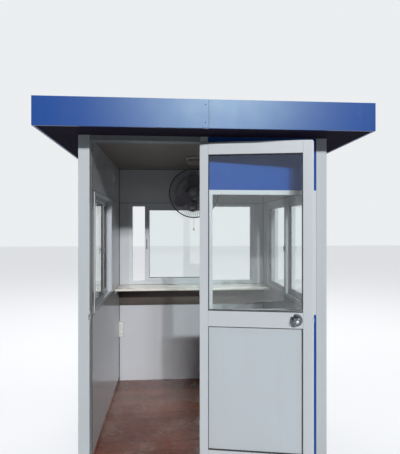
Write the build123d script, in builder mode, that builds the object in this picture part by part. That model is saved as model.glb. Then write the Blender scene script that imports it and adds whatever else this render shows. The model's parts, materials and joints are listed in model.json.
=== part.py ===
"""Guard booth: a square cabin of sandwich panels with one door and four sliding windows.

Millimetres. The origin is on the ground under the middle of the roof, +Z is up, the front wall
with the door faces -Y, and the door stands open against the front wall.
"""
import os
from dataclasses import dataclass
from math import atan2, cos, degrees, pi, radians, sin

from build123d import *

# Body: a square plan of posts and panels on a steel base.
body_width = 1500.0
body_depth = 1500.0
post_size = 66.0
post_wall = 3.0
wall_thickness = post_size
cladding_recess = 5.0
cladding_thickness = 3.0

# Base and floor, from the ground up.
beam_height = 80.0
beam_width = 80.0
floor_beam_width = 50.0
board_thickness = 18.0
vinyl_thickness = 2.0
ceiling_height = 1980.0

# Roof: a folded fascia round a shallow box, with a ribbed sheet inside it.
eave_side = 195.0
eave_front = 225.0
ceiling_sheet = 6.0
fascia_height = 158.0
fascia_sheet = 2.0
fascia_top_return = 30.0
fascia_lower_return = 14.0
fascia_joint_gap = 0.4
roof_beam = 40.0
roof_beam_inset = 350.0
rib_height = 22.0
rib_pitch = 210.0
rib_top_width = 26.0
rib_foot_width = 62.0
roof_sheet_thickness = 1.5

# Windows: every one has the same sill and head. Places run from a wall's outer corner.
window_sill = 898.0
window_head = 1661.0
left_window_from = 155.0
left_window_to = 930.0
right_window_from = 160.0
right_window_to = 1260.0
back_window_margin = 157.0
frame_web = 18.0
frame_lip = 10.0
lip_thickness = 4.0
frame_proud = 3.0
sash_stile = 40.0
sash_thickness = 20.0
sash_side_gap = 1.5
sash_head_gap = 5.0
pane_thickness = 5.0
back_sash_opening = 127.0

# Doorway and door leaf. The pin stands just outside the leaf's outer face.
door_jamb_width = 45.0
door_head_rail = 30.0
door_head_depth = 76.0
door_sill_rise = 12.0
leaf_width = 642.0
leaf_head_gap = 27.0
leaf_bottom_gap = 8.0
leaf_thickness = 40.0
leaf_lip = 16.0
leaf_lip_rise = 18.0
leaf_lip_thickness = 3.0
leaf_lip_corner = 8.0
latch_gap = 9.0
hinge_gap = 5.0
pin_stand = 14.0
pin_offset = 6.0
leaf_open_angle = 169.15
leaf_stile = 49.0
top_rail = 61.0
mid_rail_bottom = 857.5
mid_rail_top = 948.0
bottom_rail_top = 134.0
leaf_glass_thickness = 5.0
leaf_panel_thickness = 12.0

# Hinges: three pairs of screwed plates with a fixed pin.
hinge_lowest = 190.0
hinge_top_inset = 133.0
hinge_length = 90.0
hinge_plate_width = 26.0
hinge_plate_thickness = 2.5
knuckle_radius = 5.0
knuckle_gap = 0.5
pin_radius = 2.5
pin_clearance = 0.06

# Lock: a round knob each side, turning one spindle, and a spring latch.
knob_height = 905.0
knob_inset = 88.0
knob_radius = 24.0
knob_face_radius = 15.0
knob_nose = 9.0
knob_band = 13.0
knob_neck_radius = 12.0
knob_neck = 4.0
knob_rose_gap = 1.0
knob_reach = 58.0
rose_radius = 35.5
rose_thickness = 8.0
spindle_radius = 6.0
spindle_room = 3.0
latch_thickness = 12.0
latch_height = 18.0
latch_throw = 15.0
latch_tail = 30.0
latch_pocket_clearance = 0.5
latch_end_room = 2.0
strike_clearance = 6.0

# Counter across the back wall.
counter_depth = 285.0
counter_thickness = 18.0
counter_top = 896.0

# Small fittings.
lamp_radius = 85.0
lamp_height = 53.0
lamp_base_height = 14.0
lamp_cover_step = 5.0
lamp_bevel = 16.0
socket_width = 42.0
socket_height = 140.0
socket_depth = 30.0
socket_bottom = 415.0

# Wall fan over the counter.
fan_base_width = 85.0
fan_base_drop = 130.0
fan_base_height = 270.0
fan_base_depth = 50.0
fan_base_gap = 0.3
fan_base_bevel = 9.0
fan_axis_rise = 157.0
tilt_pin_reach = 85.0
tilt_pin_rise = 75.0
swivel_reach = 125.0
motor_radius = 55.0
motor_length = 150.0
motor_rear_reach = 40.0
motor_back_radius = 34.0
motor_taper = 24.0
motor_bevel = 10.0
neck_radius = 14.0
swivel_gap = 0.3
swivel_flange = 2.0
tilt_pin_radius = 4.0
ear_thickness = 6.0
ear_radius = 13.0
ear_gap = 1.0
guard_radius = 220.0
guard_depth = 130.0
guard_rear = 70.0
guard_wire = 3.2
guard_spokes = 18
guard_rim_width = 12.0
guard_boss_radius = 46.0
guard_ring_width = 19.0
hub_radius = 32.0
hub_length = 34.0
blade_count = 3
blade_tip = 196.0
blade_thickness = 2.4
blade_chord = 124.0
blade_camber = 14.0
blade_pitch = 24.0
blade_root = 10.0
hub_bevel = 8.0
shaft_radius = 4.0
shaft_clearance = 0.06
shaft_depth = 20.0

# Pull cord with a small bell-shaped weight.
cord_diameter = 2.2
cord_length = 152.0
cord_offset = 14.0
cord_reach = 30.0
cord_seat = 0.3
bob_length = 24.0
bob_radius = 6.0

# Levels and faces that follow from the sizes above.
half_width = body_width / 2
half_depth = body_depth / 2
wall_foot = beam_height
floor_level = beam_height + board_thickness + vinyl_thickness
ceiling_level = floor_level + ceiling_height
room_half_width = half_width - wall_thickness
room_half_depth = half_depth - wall_thickness
panel_outer = cladding_recess + cladding_thickness
sill_level = floor_level + window_sill
head_level = floor_level + window_head
door_head_height = ceiling_height - door_head_rail
leaf_top = door_head_height - leaf_head_gap
leaf_left = post_size + latch_gap
leaf_right = leaf_left + leaf_width
jamb_left = leaf_right + hinge_gap
jamb_right = jamb_left + door_jamb_width
pin_x = -half_width + leaf_right + hinge_gap / 2
pin_y = -half_depth - pin_stand
roof_half_width = half_width + eave_side
roof_half_depth = half_depth + eave_front
fan_base_foot = ceiling_level - fan_base_drop - fan_base_height
fascia_bottom = ceiling_level - fascia_sheet
fascia_top = fascia_bottom + fascia_height

# Each wall has a plane on its outer face: x runs along it to the right as seen from outside,
# y is up and z points out.
front_wall = Plane(origin=(0, -half_depth, 0), x_dir=(1, 0, 0), z_dir=(0, -1, 0))
back_wall = Plane(origin=(0, half_depth, 0), x_dir=(-1, 0, 0), z_dir=(0, 1, 0))
left_wall = Plane(origin=(-half_width, 0, 0), x_dir=(0, -1, 0), z_dir=(-1, 0, 0))
right_wall = Plane(origin=(half_width, 0, 0), x_dir=(0, 1, 0), z_dir=(1, 0, 0))

# The open leaf has a plane through the pin: x runs from the pin to the latch edge, y is up and
# z points from the leaf's outer face to its inner one.
leaf_turn = radians(180.0 - leaf_open_angle)
leaf_plane = Plane(
    origin=(pin_x, pin_y, 0),
    x_dir=(cos(leaf_turn), -sin(leaf_turn), 0),
    z_dir=(-sin(leaf_turn), -cos(leaf_turn), 0),
)


def block(x, y, z, mode=Mode.ADD):
    """Add a square-edged block that spans the (low, high) pair given for each axis."""
    middle = ((x[0] + x[1]) / 2, (y[0] + y[1]) / 2, (z[0] + z[1]) / 2)
    with Locations(middle):
        Box(x[1] - x[0], y[1] - y[0], z[1] - z[0], mode=mode)


def slab(plane, x, y, z, mode=Mode.ADD):
    """Add a slab on a plane: x and y span its outline, and z its distance from the plane."""
    with BuildSketch(plane.offset(z[0])) as outline:
        with Locations(((x[0] + x[1]) / 2, (y[0] + y[1]) / 2)):
            Rectangle(x[1] - x[0], y[1] - y[0])
    extrude(outline.sketch, amount=z[1] - z[0], mode=mode)


def ring(plane, x, y, z, band):
    """Add a rectangular ring on a plane, with bars of the given width inside its outline."""
    with BuildSketch(plane.offset(z[0])) as outline:
        with Locations(((x[0] + x[1]) / 2, (y[0] + y[1]) / 2)):
            Rectangle(x[1] - x[0], y[1] - y[0])
            Rectangle(x[1] - x[0] - 2 * band, y[1] - y[0] - 2 * band, mode=Mode.SUBTRACT)
    extrude(outline.sketch, amount=z[1] - z[0])


def save(part, label):
    """Label a finished piece and write it to its own file."""
    part.label = label
    export_step(part, f"parts/{label}.step")


os.makedirs("parts", exist_ok=True)

# Base frame: two long side beams with cross beams butted between them.
with BuildPart() as base_side_beams:
    for side in (-1, 1):
        edge = side * half_width
        block(sorted((edge, edge - side * beam_width)), (-half_depth, half_depth), (0, beam_height))
save(base_side_beams.part, "base_side_beams")

with BuildPart() as base_cross_beams:
    beam_ends = (-half_width + beam_width, half_width - beam_width)
    block(beam_ends, (-half_depth, -half_depth + beam_width), (0, beam_height))
    block(beam_ends, (half_depth - beam_width, half_depth), (0, beam_height))
    for middle in (-half_depth / 3, half_depth / 3):
        block(
            beam_ends,
            (middle - floor_beam_width / 2, middle + floor_beam_width / 2),
            (0, beam_height),
        )
save(base_cross_beams.part, "base_cross_beams")

# Floor: a board between the walls, with vinyl sheet over it.
room_x = (-room_half_width, room_half_width)
room_y = (-room_half_depth, room_half_depth)
with BuildPart() as floor_board:
    block(room_x, room_y, (wall_foot, wall_foot + board_thickness))
save(floor_board.part, "floor_board")

with BuildPart() as floor_vinyl:
    block(room_x, room_y, (wall_foot + board_thickness, floor_level))
save(floor_vinyl.part, "floor_vinyl")

# Corner posts: square tubes with rounded outer edges, and the latch's strike slot in one.
latch_middle = pin_offset + leaf_thickness / 2
with BuildPart() as corner_posts:
    with BuildSketch(Plane.XY.offset(wall_foot)) as post_outline:
        with GridLocations(body_width - post_size, body_depth - post_size, 2, 2):
            RectangleRounded(post_size, post_size, post_wall)
            Rectangle(
                post_size - 2 * post_wall, post_size - 2 * post_wall, mode=Mode.SUBTRACT
            )
    extrude(post_outline.sketch, amount=ceiling_level - wall_foot)
    slot_middle = pin_y + latch_middle
    slot_reach = latch_thickness / 2 + strike_clearance
    block(
        (-half_width + post_size - 2 * post_wall, -half_width + post_size + post_wall),
        (slot_middle - slot_reach, slot_middle + slot_reach),
        (
            floor_level + knob_height - latch_height / 2 - strike_clearance,
            floor_level + knob_height + latch_height / 2 + strike_clearance,
        ),
        mode=Mode.SUBTRACT,
    )
save(corner_posts.part, "corner_posts")

# Doorway: the jamb between door and window, the head over the leaf and the sill under it.
door_x = (-half_width + post_size, -half_width + jamb_left)
with BuildPart() as door_jamb:
    with BuildSketch(Plane.XY.offset(wall_foot)) as jamb_outline:
        with Locations((-half_width + (jamb_left + jamb_right) / 2, -half_depth + post_size / 2)):
            Rectangle(door_jamb_width, post_size)
            Rectangle(
                door_jamb_width - 2 * post_wall, post_size - 2 * post_wall, mode=Mode.SUBTRACT
            )
    extrude(jamb_outline.sketch, amount=ceiling_level - wall_foot)
save(door_jamb.part, "door_jamb")

with BuildPart() as door_head:
    block(
        door_x,
        (-half_depth, -half_depth + door_head_depth),
        (floor_level + door_head_height, ceiling_level),
    )
save(door_head.part, "door_head")

with BuildPart() as door_sill:
    block(
        door_x, (-half_depth, -half_depth + post_size), (wall_foot, floor_level + door_sill_rise)
    )
    sill_edges = door_sill.edges().filter_by(Axis.X).group_by(Axis.Z)[-1]
    chamfer(sill_edges, length=door_sill_rise / 2)
save(door_sill.part, "door_sill")


@dataclass
class WallLayout:
    """One wall: its plane, its clear span between posts and its window's span along it."""

    name: str
    plane: Plane
    span: tuple
    window: tuple


between_posts = half_width - post_size
front_span = (-half_width + jamb_right, between_posts)
walls = [
    WallLayout("front", front_wall, front_span, front_span),
    WallLayout(
        "left",
        left_wall,
        (-half_depth + post_size, half_depth - post_size),
        (half_depth - left_window_to, half_depth - left_window_from),
    ),
    WallLayout(
        "right",
        right_wall,
        (-half_depth + post_size, half_depth - post_size),
        (-half_depth + right_window_from, -half_depth + right_window_to),
    ),
    WallLayout(
        "back",
        back_wall,
        (-between_posts, between_posts),
        (-half_width + back_window_margin, half_width - back_window_margin),
    ),
]

# Wall panels: under and over the window in each wall.
panel_depth = (-wall_thickness, -panel_outer)
for wall in walls:
    with BuildPart() as wall_panels:
        slab(wall.plane, wall.span, (wall_foot, sill_level), panel_depth)
        slab(wall.plane, wall.span, (head_level, ceiling_level), panel_depth)
    save(wall_panels.part, f"{wall.name}_wall_panels")

# Upright strips of panel beside the windows.
with BuildPart() as wall_strips:
    for wall in walls[1:]:
        for strip in ((wall.span[0], wall.window[0]), (wall.window[1], wall.span[1])):
            slab(wall.plane, strip, (sill_level, head_level), panel_depth)
save(wall_strips.part, "wall_strips")

# Blue outer sheets, one to a wall and two beside the door, cut round the windows.
cladding_depth = (-panel_outer, -cladding_recess)
with BuildPart() as outer_cladding:
    for wall in walls:
        slab(wall.plane, wall.span, (wall_foot, ceiling_level), cladding_depth)
        slab(
            wall.plane, wall.window, (sill_level, head_level), cladding_depth, mode=Mode.SUBTRACT
        )
save(outer_cladding.part, "outer_cladding")

# Windows: a ring with three lips that make two tracks, and a sash with its pane in each track.
outer_lip_depth = -cladding_recess + frame_proud
inner_lip_depth = -wall_thickness - frame_proud
middle_lip_depth = (outer_lip_depth + inner_lip_depth) / 2
outer_track_depth = (outer_lip_depth - lip_thickness + middle_lip_depth + lip_thickness / 2) / 2
inner_track_depth = (inner_lip_depth + lip_thickness + middle_lip_depth - lip_thickness / 2) / 2
sash_z = (sill_level + frame_web, head_level - frame_web - sash_head_gap)

panes = []
for wall in walls:
    with BuildPart() as window_frame:
        ring(
            wall.plane,
            wall.window,
            (sill_level, head_level),
            (inner_lip_depth, outer_lip_depth),
            frame_web,
        )
        for lip in (
            outer_lip_depth - lip_thickness,
            middle_lip_depth - lip_thickness / 2,
            inner_lip_depth,
        ):
            ring(
                wall.plane,
                wall.window,
                (sill_level, head_level),
                (lip, lip + lip_thickness),
                frame_web + frame_lip,
            )
    save(window_frame.part, f"{wall.name}_window_frame")

    clear_from = wall.window[0] + frame_web + sash_side_gap
    clear_to = wall.window[1] - frame_web - sash_side_gap
    sash_width = (clear_to - clear_from + sash_stile) / 2
    slid = back_sash_opening if wall.name == "back" else 0.0
    sashes = (
        (clear_from, outer_track_depth),
        (clear_to - sash_width - slid, inner_track_depth),
    )
    with BuildPart() as window_sashes:
        for start, depth in sashes:
            ring(
                wall.plane,
                (start, start + sash_width),
                sash_z,
                (depth - sash_thickness / 2, depth + sash_thickness / 2),
                sash_stile,
            )
    save(window_sashes.part, f"{wall.name}_window_sashes")
    panes += [(wall.plane, start, sash_width, depth) for start, depth in sashes]

with BuildPart() as window_panes:
    for plane, start, width, depth in panes:
        slab(
            plane,
            (start + sash_stile, start + width - sash_stile),
            (sash_z[0] + sash_stile, sash_z[1] - sash_stile),
            (depth - pane_thickness / 2, depth + pane_thickness / 2),
        )
save(window_panes.part, "window_panes")

# Ceiling over the body, and the soffit sheets from the body out to the fascia.
sheet_z = (ceiling_level, ceiling_level + ceiling_sheet)
fascia_inner_x = roof_half_width - fascia_sheet
fascia_inner_y = roof_half_depth - fascia_sheet
with BuildPart() as ceiling_panel:
    block((-half_width, half_width), (-half_depth, half_depth), sheet_z)
save(ceiling_panel.part, "ceiling_panel")

with BuildPart() as soffit_front_back:
    for side in (-1, 1):
        reach = sorted((side * half_depth, side * fascia_inner_y))
        block((-fascia_inner_x, fascia_inner_x), reach, sheet_z)
save(soffit_front_back.part, "soffit_front_back")

with BuildPart() as soffit_sides:
    for side in (-1, 1):
        reach = sorted((side * half_width, side * fascia_inner_x))
        block(reach, (-half_depth, half_depth), sheet_z)
save(soffit_sides.part, "soffit_sides")

# Roof beams from front to back, on the ceiling sheet, carrying the ribbed sheet.
beam_foot = ceiling_level + ceiling_sheet
with BuildPart() as roof_beams:
    edge_beam = fascia_inner_x - roof_beam / 2
    for place in (-edge_beam, -roof_beam_inset, roof_beam_inset, edge_beam):
        block(
            (place - roof_beam / 2, place + roof_beam / 2),
            (-fascia_inner_y, fascia_inner_y),
            (beam_foot, beam_foot + roof_beam),
        )
save(roof_beams.part, "roof_beams")

sheet_foot = beam_foot + roof_beam
rib_count = int((2 * fascia_inner_x - rib_foot_width) // rib_pitch)
rib_slope = degrees(atan2(rib_height, (rib_foot_width - rib_top_width) / 2))
rib_places = [(index - (rib_count - 1) / 2) * rib_pitch for index in range(rib_count)]
with BuildPart() as roof_sheet:
    block(
        (-fascia_inner_x, fascia_inner_x),
        (-fascia_inner_y, fascia_inner_y),
        (sheet_foot, sheet_foot + roof_sheet_thickness),
    )
    with BuildSketch(Plane.XZ.offset(-fascia_inner_y)) as rib_outline:
        for place in rib_places:
            with Locations((place, sheet_foot + rib_height / 2)):
                Trapezoid(rib_foot_width, rib_height, rib_slope)
    extrude(rib_outline.sketch, amount=2 * fascia_inner_y)
save(roof_sheet.part, "roof_sheet")


def fascia_run(plane, start, end):
    """Make one folded length of fascia along a plane's x, with its face on the plane."""
    with BuildPart() as run:
        slab(plane, (start, end), (fascia_bottom, fascia_top), (-fascia_sheet, 0))
        slab(
            plane,
            (start, end),
            (fascia_top - fascia_sheet, fascia_top),
            (-fascia_top_return, 0),
        )
        slab(
            plane,
            (start, end),
            (fascia_bottom, fascia_bottom + fascia_sheet),
            (-fascia_lower_return, 0),
        )
    return run.part


def mitred(run, corner, out):
    """Cut a fascia length on the upright 45 degree plane through a roof corner."""
    with BuildPart() as cut:
        add(run)
        split(bisect_by=Plane(origin=corner, z_dir=out), keep=Keep.BOTTOM)
    return cut.part


front_face = Plane(origin=(0, -roof_half_depth, 0), x_dir=(1, 0, 0), z_dir=(0, -1, 0))
back_face = Plane(origin=(0, roof_half_depth, 0), x_dir=(-1, 0, 0), z_dir=(0, 1, 0))
left_face = Plane(origin=(-roof_half_width, 0, 0), x_dir=(0, -1, 0), z_dir=(-1, 0, 0))
right_face = Plane(origin=(roof_half_width, 0, 0), x_dir=(0, 1, 0), z_dir=(1, 0, 0))

for side, label in ((-1, "fascia_front_left"), (1, "fascia_front_right")):
    joint = side * fascia_joint_gap / 2
    run = fascia_run(front_face, *sorted((joint, side * roof_half_width)))
    corner = (side * roof_half_width, -roof_half_depth, 0)
    save(mitred(run, corner, (side, 1, 0)), label)

with BuildPart() as fascia_back:
    back_run = fascia_run(back_face, -roof_half_width, roof_half_width)
    for side in (-1, 1):
        corner = (side * roof_half_width, roof_half_depth, 0)
        back_run = mitred(back_run, corner, (side, -1, 0))
    add(back_run)
save(fascia_back.part, "fascia_back")

with BuildPart() as fascia_sides:
    for side, face in ((-1, left_face), (1, right_face)):
        side_run = fascia_run(face, -roof_half_depth, roof_half_depth)
        for end in (-1, 1):
            corner = (side * roof_half_width, end * roof_half_depth, 0)
            side_run = mitred(side_run, corner, (-side, end, 0))
        add(side_run)
save(fascia_sides.part, "fascia_sides")

# Counter from wall to wall on the back wall.
with BuildPart() as counter:
    block(
        room_x,
        (room_half_depth - counter_depth, room_half_depth),
        (floor_level + counter_top - counter_thickness, floor_level + counter_top),
    )
    fillet(counter.edges().filter_by(Axis.X).group_by(Axis.Y)[0], radius=counter_thickness / 4)
save(counter.part, "counter")

# Round ceiling lamp: a turned base with a bevelled cover under it.
with BuildPart() as ceiling_lamp:
    with BuildSketch(Plane.XY.offset(ceiling_level - lamp_base_height)) as lamp_base:
        Circle(lamp_radius)
    extrude(lamp_base.sketch, amount=lamp_base_height)
    with BuildSketch(Plane.XY.offset(ceiling_level - lamp_height)) as lamp_cover:
        Circle(lamp_radius - lamp_cover_step)
    extrude(lamp_cover.sketch, amount=lamp_height - lamp_base_height)
    chamfer(ceiling_lamp.faces().sort_by(Axis.Z)[0].edges(), length=lamp_bevel)
save(ceiling_lamp.part, "ceiling_lamp")

# Surface socket box in the back corner, on the left.
with BuildPart() as socket_box:
    block(
        (-room_half_width, -room_half_width + socket_width),
        (room_half_depth - socket_depth, room_half_depth),
        (floor_level + socket_bottom, floor_level + socket_bottom + socket_height),
    )
    fillet(socket_box.faces().sort_by(Axis.Y)[0].edges(), radius=socket_depth / 8)
save(socket_box.part, "socket_box")

# Door leaf: stiles and rails, bevelled round the inner face, with a pocket for the latch.
leaf_foot = floor_level + door_sill_rise + leaf_bottom_gap
leaf_u = (hinge_gap / 2, hinge_gap / 2 + leaf_width)
leaf_z = (leaf_foot, floor_level + leaf_top)
leaf_s = (pin_offset, pin_offset + leaf_thickness)
light_u = (leaf_u[0] + leaf_stile, leaf_u[1] - leaf_stile)
glass_z = (floor_level + mid_rail_top, leaf_z[1] - top_rail)
panel_z = (floor_level + bottom_rail_top, floor_level + mid_rail_bottom)
knob_u = leaf_u[1] - knob_inset
knob_z = floor_level + knob_height
with BuildPart() as door_frame:
    slab(leaf_plane, leaf_u, leaf_z, leaf_s)
    with BuildSketch(leaf_plane.offset(leaf_s[0])) as lip_outline:
        with BuildLine():
            Polyline(
                (leaf_u[0], leaf_z[0]),
                (leaf_u[1] + leaf_lip, leaf_z[0]),
                (leaf_u[1] + leaf_lip, leaf_z[1] + leaf_lip_rise - leaf_lip_corner),
                (leaf_u[1] + leaf_lip - leaf_lip_corner, leaf_z[1] + leaf_lip_rise),
                (leaf_u[0], leaf_z[1] + leaf_lip_rise),
                close=True,
            )
        make_face()
    extrude(lip_outline.sketch, amount=leaf_lip_thickness)
    slab(leaf_plane, light_u, glass_z, leaf_s, mode=Mode.SUBTRACT)
    slab(leaf_plane, light_u, panel_z, leaf_s, mode=Mode.SUBTRACT)
    with BuildSketch(leaf_plane.offset(leaf_s[0])) as spindle_hole:
        with Locations((knob_u, knob_z)):
            Circle(spindle_radius + spindle_room)
    extrude(spindle_hole.sketch, amount=leaf_thickness, mode=Mode.SUBTRACT)
    latch_half = latch_thickness / 2 + latch_pocket_clearance
    slab(
        leaf_plane,
        (leaf_u[1] - latch_tail - latch_throw - latch_end_room, leaf_u[1]),
        (
            knob_z - latch_height / 2 - latch_pocket_clearance,
            knob_z + latch_height / 2 + latch_pocket_clearance,
        ),
        (latch_middle - latch_half, latch_middle + latch_half),
        mode=Mode.SUBTRACT,
    )
save(door_frame.part, "door_frame")

with BuildPart() as door_glass:
    slab(
        leaf_plane,
        light_u,
        glass_z,
        (latch_middle - leaf_glass_thickness / 2, latch_middle + leaf_glass_thickness / 2),
    )
save(door_glass.part, "door_glass")

with BuildPart() as door_panel:
    slab(
        leaf_plane,
        light_u,
        panel_z,
        (latch_middle - leaf_panel_thickness / 2, latch_middle + leaf_panel_thickness / 2),
    )
save(door_panel.part, "door_panel")

# Hinges: the jamb's plate carries the middle knuckle and the pin, the leaf's the outer two.
knuckle_length = hinge_length / 3
hinge_highest = leaf_top - hinge_top_inset
hinge_heights = (hinge_lowest, (hinge_lowest + hinge_highest) / 2, hinge_highest)
with BuildPart() as jamb_hinges:
    for height in hinge_heights:
        foot = floor_level + height
        with BuildSketch(Plane.XY.offset(foot + knuckle_length + knuckle_gap)) as knuckle:
            with Locations((pin_x, pin_y)):
                Circle(knuckle_radius)
        extrude(knuckle.sketch, amount=knuckle_length - 2 * knuckle_gap)
        with BuildSketch(Plane.XY.offset(foot)) as pin:
            with Locations((pin_x, pin_y)):
                Circle(pin_radius)
        extrude(pin.sketch, amount=hinge_length)
        block(
            (pin_x + hinge_gap / 2, pin_x + hinge_plate_width),
            (-half_depth - hinge_plate_thickness, -half_depth),
            (foot, foot + hinge_length),
        )
        block(
            (pin_x + hinge_gap / 2, pin_x + knuckle_radius),
            (pin_y, -half_depth),
            (foot + knuckle_length + knuckle_gap, foot + 2 * knuckle_length - knuckle_gap),
        )
save(jamb_hinges.part, "jamb_hinges")

with BuildPart() as leaf_hinges:
    for height in hinge_heights:
        foot = floor_level + height
        for start in (0, 2 * knuckle_length):
            with BuildSketch(Plane.XY.offset(foot + start)) as knuckle:
                with Locations((pin_x, pin_y)):
                    Circle(knuckle_radius)
            extrude(knuckle.sketch, amount=knuckle_length)
            slab(
                leaf_plane,
                (hinge_gap / 2, knuckle_radius + 2 * knuckle_gap),
                (foot + start, foot + start + knuckle_length),
                (0, pin_offset),
            )
        slab(
            leaf_plane,
            (knuckle_radius + knuckle_gap, hinge_plate_width),
            (foot, foot + hinge_length),
            (pin_offset - hinge_plate_thickness, pin_offset),
        )
        with BuildSketch(Plane.XY.offset(foot)) as pin_hole:
            with Locations((pin_x, pin_y)):
                Circle(pin_radius + pin_clearance)
        extrude(pin_hole.sketch, amount=hinge_length, mode=Mode.SUBTRACT)
save(leaf_hinges.part, "leaf_hinges")

# Roses on both faces of the leaf, with a bevelled rim and a bore that guides the spindle.
knob_axis_plane = Plane(
    origin=leaf_plane.from_local_coords((knob_u, knob_z, 0)),
    x_dir=leaf_plane.x_dir,
    z_dir=leaf_plane.z_dir,
)
with BuildPart() as knob_roses:
    for face, way in ((leaf_s[1], 1), (leaf_s[0], -1)):
        with BuildSketch(knob_axis_plane.offset(face)) as rose:
            Circle(rose_radius)
            Circle(spindle_radius + pin_clearance, mode=Mode.SUBTRACT)
        extrude(rose.sketch, amount=way * rose_thickness)
    rims = knob_roses.edges().filter_by(GeomType.CIRCLE).sort_by(SortBy.RADIUS)[-4:]
    outermost = ShapeList(rims).sort_by(Axis(knob_axis_plane.origin, knob_axis_plane.z_dir))
    chamfer([outermost[0], outermost[-1]], length=rose_thickness * 0.6)
save(knob_roses.part, "knob_roses")

# Knobs: one turned piece, with a waisted knob each side and the spindle through the leaf.
with BuildPart() as door_knobs:
    neck_end = leaf_thickness / 2 + rose_thickness + knob_rose_gap
    knob_end = leaf_thickness / 2 + knob_reach
    flare_end = knob_end - knob_nose - knob_band
    inner_knob = [
        (spindle_radius, neck_end),
        (knob_neck_radius, neck_end),
        (knob_neck_radius, neck_end + knob_neck),
        (knob_radius, flare_end),
        (knob_radius, knob_end - knob_nose),
        (knob_face_radius, knob_end),
    ]
    outer_knob = [(radius, -height) for radius, height in reversed(inner_knob)]
    turning = Plane(
        origin=knob_axis_plane.offset(latch_middle).origin,
        x_dir=knob_axis_plane.x_dir,
        z_dir=-knob_axis_plane.y_dir,
    )
    with BuildSketch(turning) as knob_outline:
        with BuildLine():
            Polyline(*inner_knob, (0, knob_end), (0, -knob_end), *outer_knob, close=True)
        make_face()
    revolve(knob_outline.sketch, axis=Axis(knob_axis_plane.origin, knob_axis_plane.z_dir))
save(door_knobs.part, "door_knobs")

# Latch bolt: a bar with a bevelled nose that slides in the latch stile.
with BuildPart() as latch_bolt:
    slab(
        leaf_plane,
        (leaf_u[1] - latch_tail, leaf_u[1] + latch_throw),
        (knob_z - latch_height / 2, knob_z + latch_height / 2),
        (latch_middle - latch_thickness / 2, latch_middle + latch_thickness / 2),
    )
    nose = latch_bolt.faces().sort_by(Axis((pin_x, pin_y, 0), leaf_plane.x_dir))[-1]
    nose_edge = nose.edges().sort_by(Axis((pin_x, pin_y, 0), leaf_plane.z_dir))[0]
    chamfer(nose_edge, length=latch_throw * 0.75)
save(latch_bolt.part, "latch_bolt")

# Wall fan: base on the header panel, with two ears for the tilt pin.
fan_base_back = room_half_depth
fan_base_front = fan_base_back - fan_base_depth
tilt_y = fan_base_back - tilt_pin_reach
tilt_z = fan_base_foot + tilt_pin_rise
swivel_y = fan_base_back - swivel_reach
fan_z = fan_base_foot + fan_axis_rise
ear_inner = neck_radius + ear_gap
with BuildPart() as fan_base:
    base_middle = fan_base_foot + fan_base_height / 2
    with BuildSketch(Plane.XZ.offset(-fan_base_back)) as base_outline:
        with Locations((0, base_middle)):
            SlotOverall(fan_base_height, fan_base_width, rotation=90)
    extrude(base_outline.sketch, amount=fan_base_depth)
    chamfer(fan_base.faces().sort_by(Axis.Y)[0].edges(), length=fan_base_bevel)
    frame_room = frame_proud + fan_base_gap
    block(
        (-fan_base_width, fan_base_width),
        (fan_base_back - frame_room, fan_base_back),
        (floor_level, head_level + fan_base_gap),
        mode=Mode.SUBTRACT,
    )
    for side in (-1, 1):
        with BuildSketch(Plane.YZ.offset(side * ear_inner)) as ear:
            with Locations((tilt_y, tilt_z)):
                Circle(ear_radius)
            with Locations(((tilt_y + fan_base_front + ear_radius) / 2, tilt_z)):
                Rectangle(fan_base_front + ear_radius - tilt_y, 2 * ear_radius)
        extrude(ear.sketch, amount=side * ear_thickness)
    with BuildSketch(Plane.YZ.offset(-ear_inner - ear_thickness)) as tilt_pin:
        with Locations((tilt_y, tilt_z)):
            Circle(tilt_pin_radius)
    extrude(tilt_pin.sketch, amount=2 * (ear_inner + ear_thickness))
save(fan_base.part, "fan_base")

# Neck: a barrel on the tilt pin and a stem up to the motor.
motor_foot = fan_z - motor_radius
with BuildPart() as fan_neck:
    with BuildSketch(Plane.YZ.offset(-neck_radius)) as barrel:
        with Locations((tilt_y, tilt_z)):
            Circle(ear_radius)
        with Locations(((tilt_y + swivel_y) / 2, tilt_z)):
            Rectangle(tilt_y - swivel_y, 2 * ear_radius)
    extrude(barrel.sketch, amount=2 * neck_radius)
    with BuildSketch(Plane.XY.offset(tilt_z - ear_radius)) as stem:
        with Locations((0, swivel_y)):
            Circle(neck_radius)
    extrude(stem.sketch, amount=motor_foot - swivel_gap - tilt_z + ear_radius)
    with BuildSketch(Plane.YZ.offset(-neck_radius)) as barrel_bore:
        with Locations((tilt_y, tilt_z)):
            Circle(tilt_pin_radius + pin_clearance)
    extrude(barrel_bore.sketch, amount=2 * neck_radius, mode=Mode.SUBTRACT)
save(fan_neck.part, "fan_neck")

# Motor housing: a turned bell with a shaft out of its front.
motor_back = swivel_y + motor_rear_reach
motor_front = motor_back - motor_length
hub_back = swivel_y - guard_rear - guard_depth / 2 + hub_length / 2
with BuildPart() as fan_motor:
    with BuildSketch(Plane.YZ) as bell:
        with BuildLine():
            Polyline(
                (motor_back, fan_z),
                (motor_back, fan_z + motor_back_radius),
                (motor_back - motor_taper, fan_z + motor_radius),
                (motor_front + motor_bevel, fan_z + motor_radius),
                (motor_front, fan_z + motor_radius - motor_bevel),
                (motor_front, fan_z),
                close=True,
            )
        make_face()
    revolve(bell.sketch, axis=Axis((0, 0, fan_z), (0, 1, 0)))
    with BuildSketch(Plane.XY.offset(motor_foot)) as foot_pad:
        with Locations((0, swivel_y)):
            Circle(neck_radius + swivel_flange)
    extrude(foot_pad.sketch, amount=motor_radius)
    with BuildSketch(Plane.XZ.offset(-motor_front)) as shaft:
        with Locations((0, fan_z)):
            Circle(shaft_radius)
    extrude(shaft.sketch, amount=motor_front - hub_back + shaft_depth)
save(fan_motor.part, "fan_motor")

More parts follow.
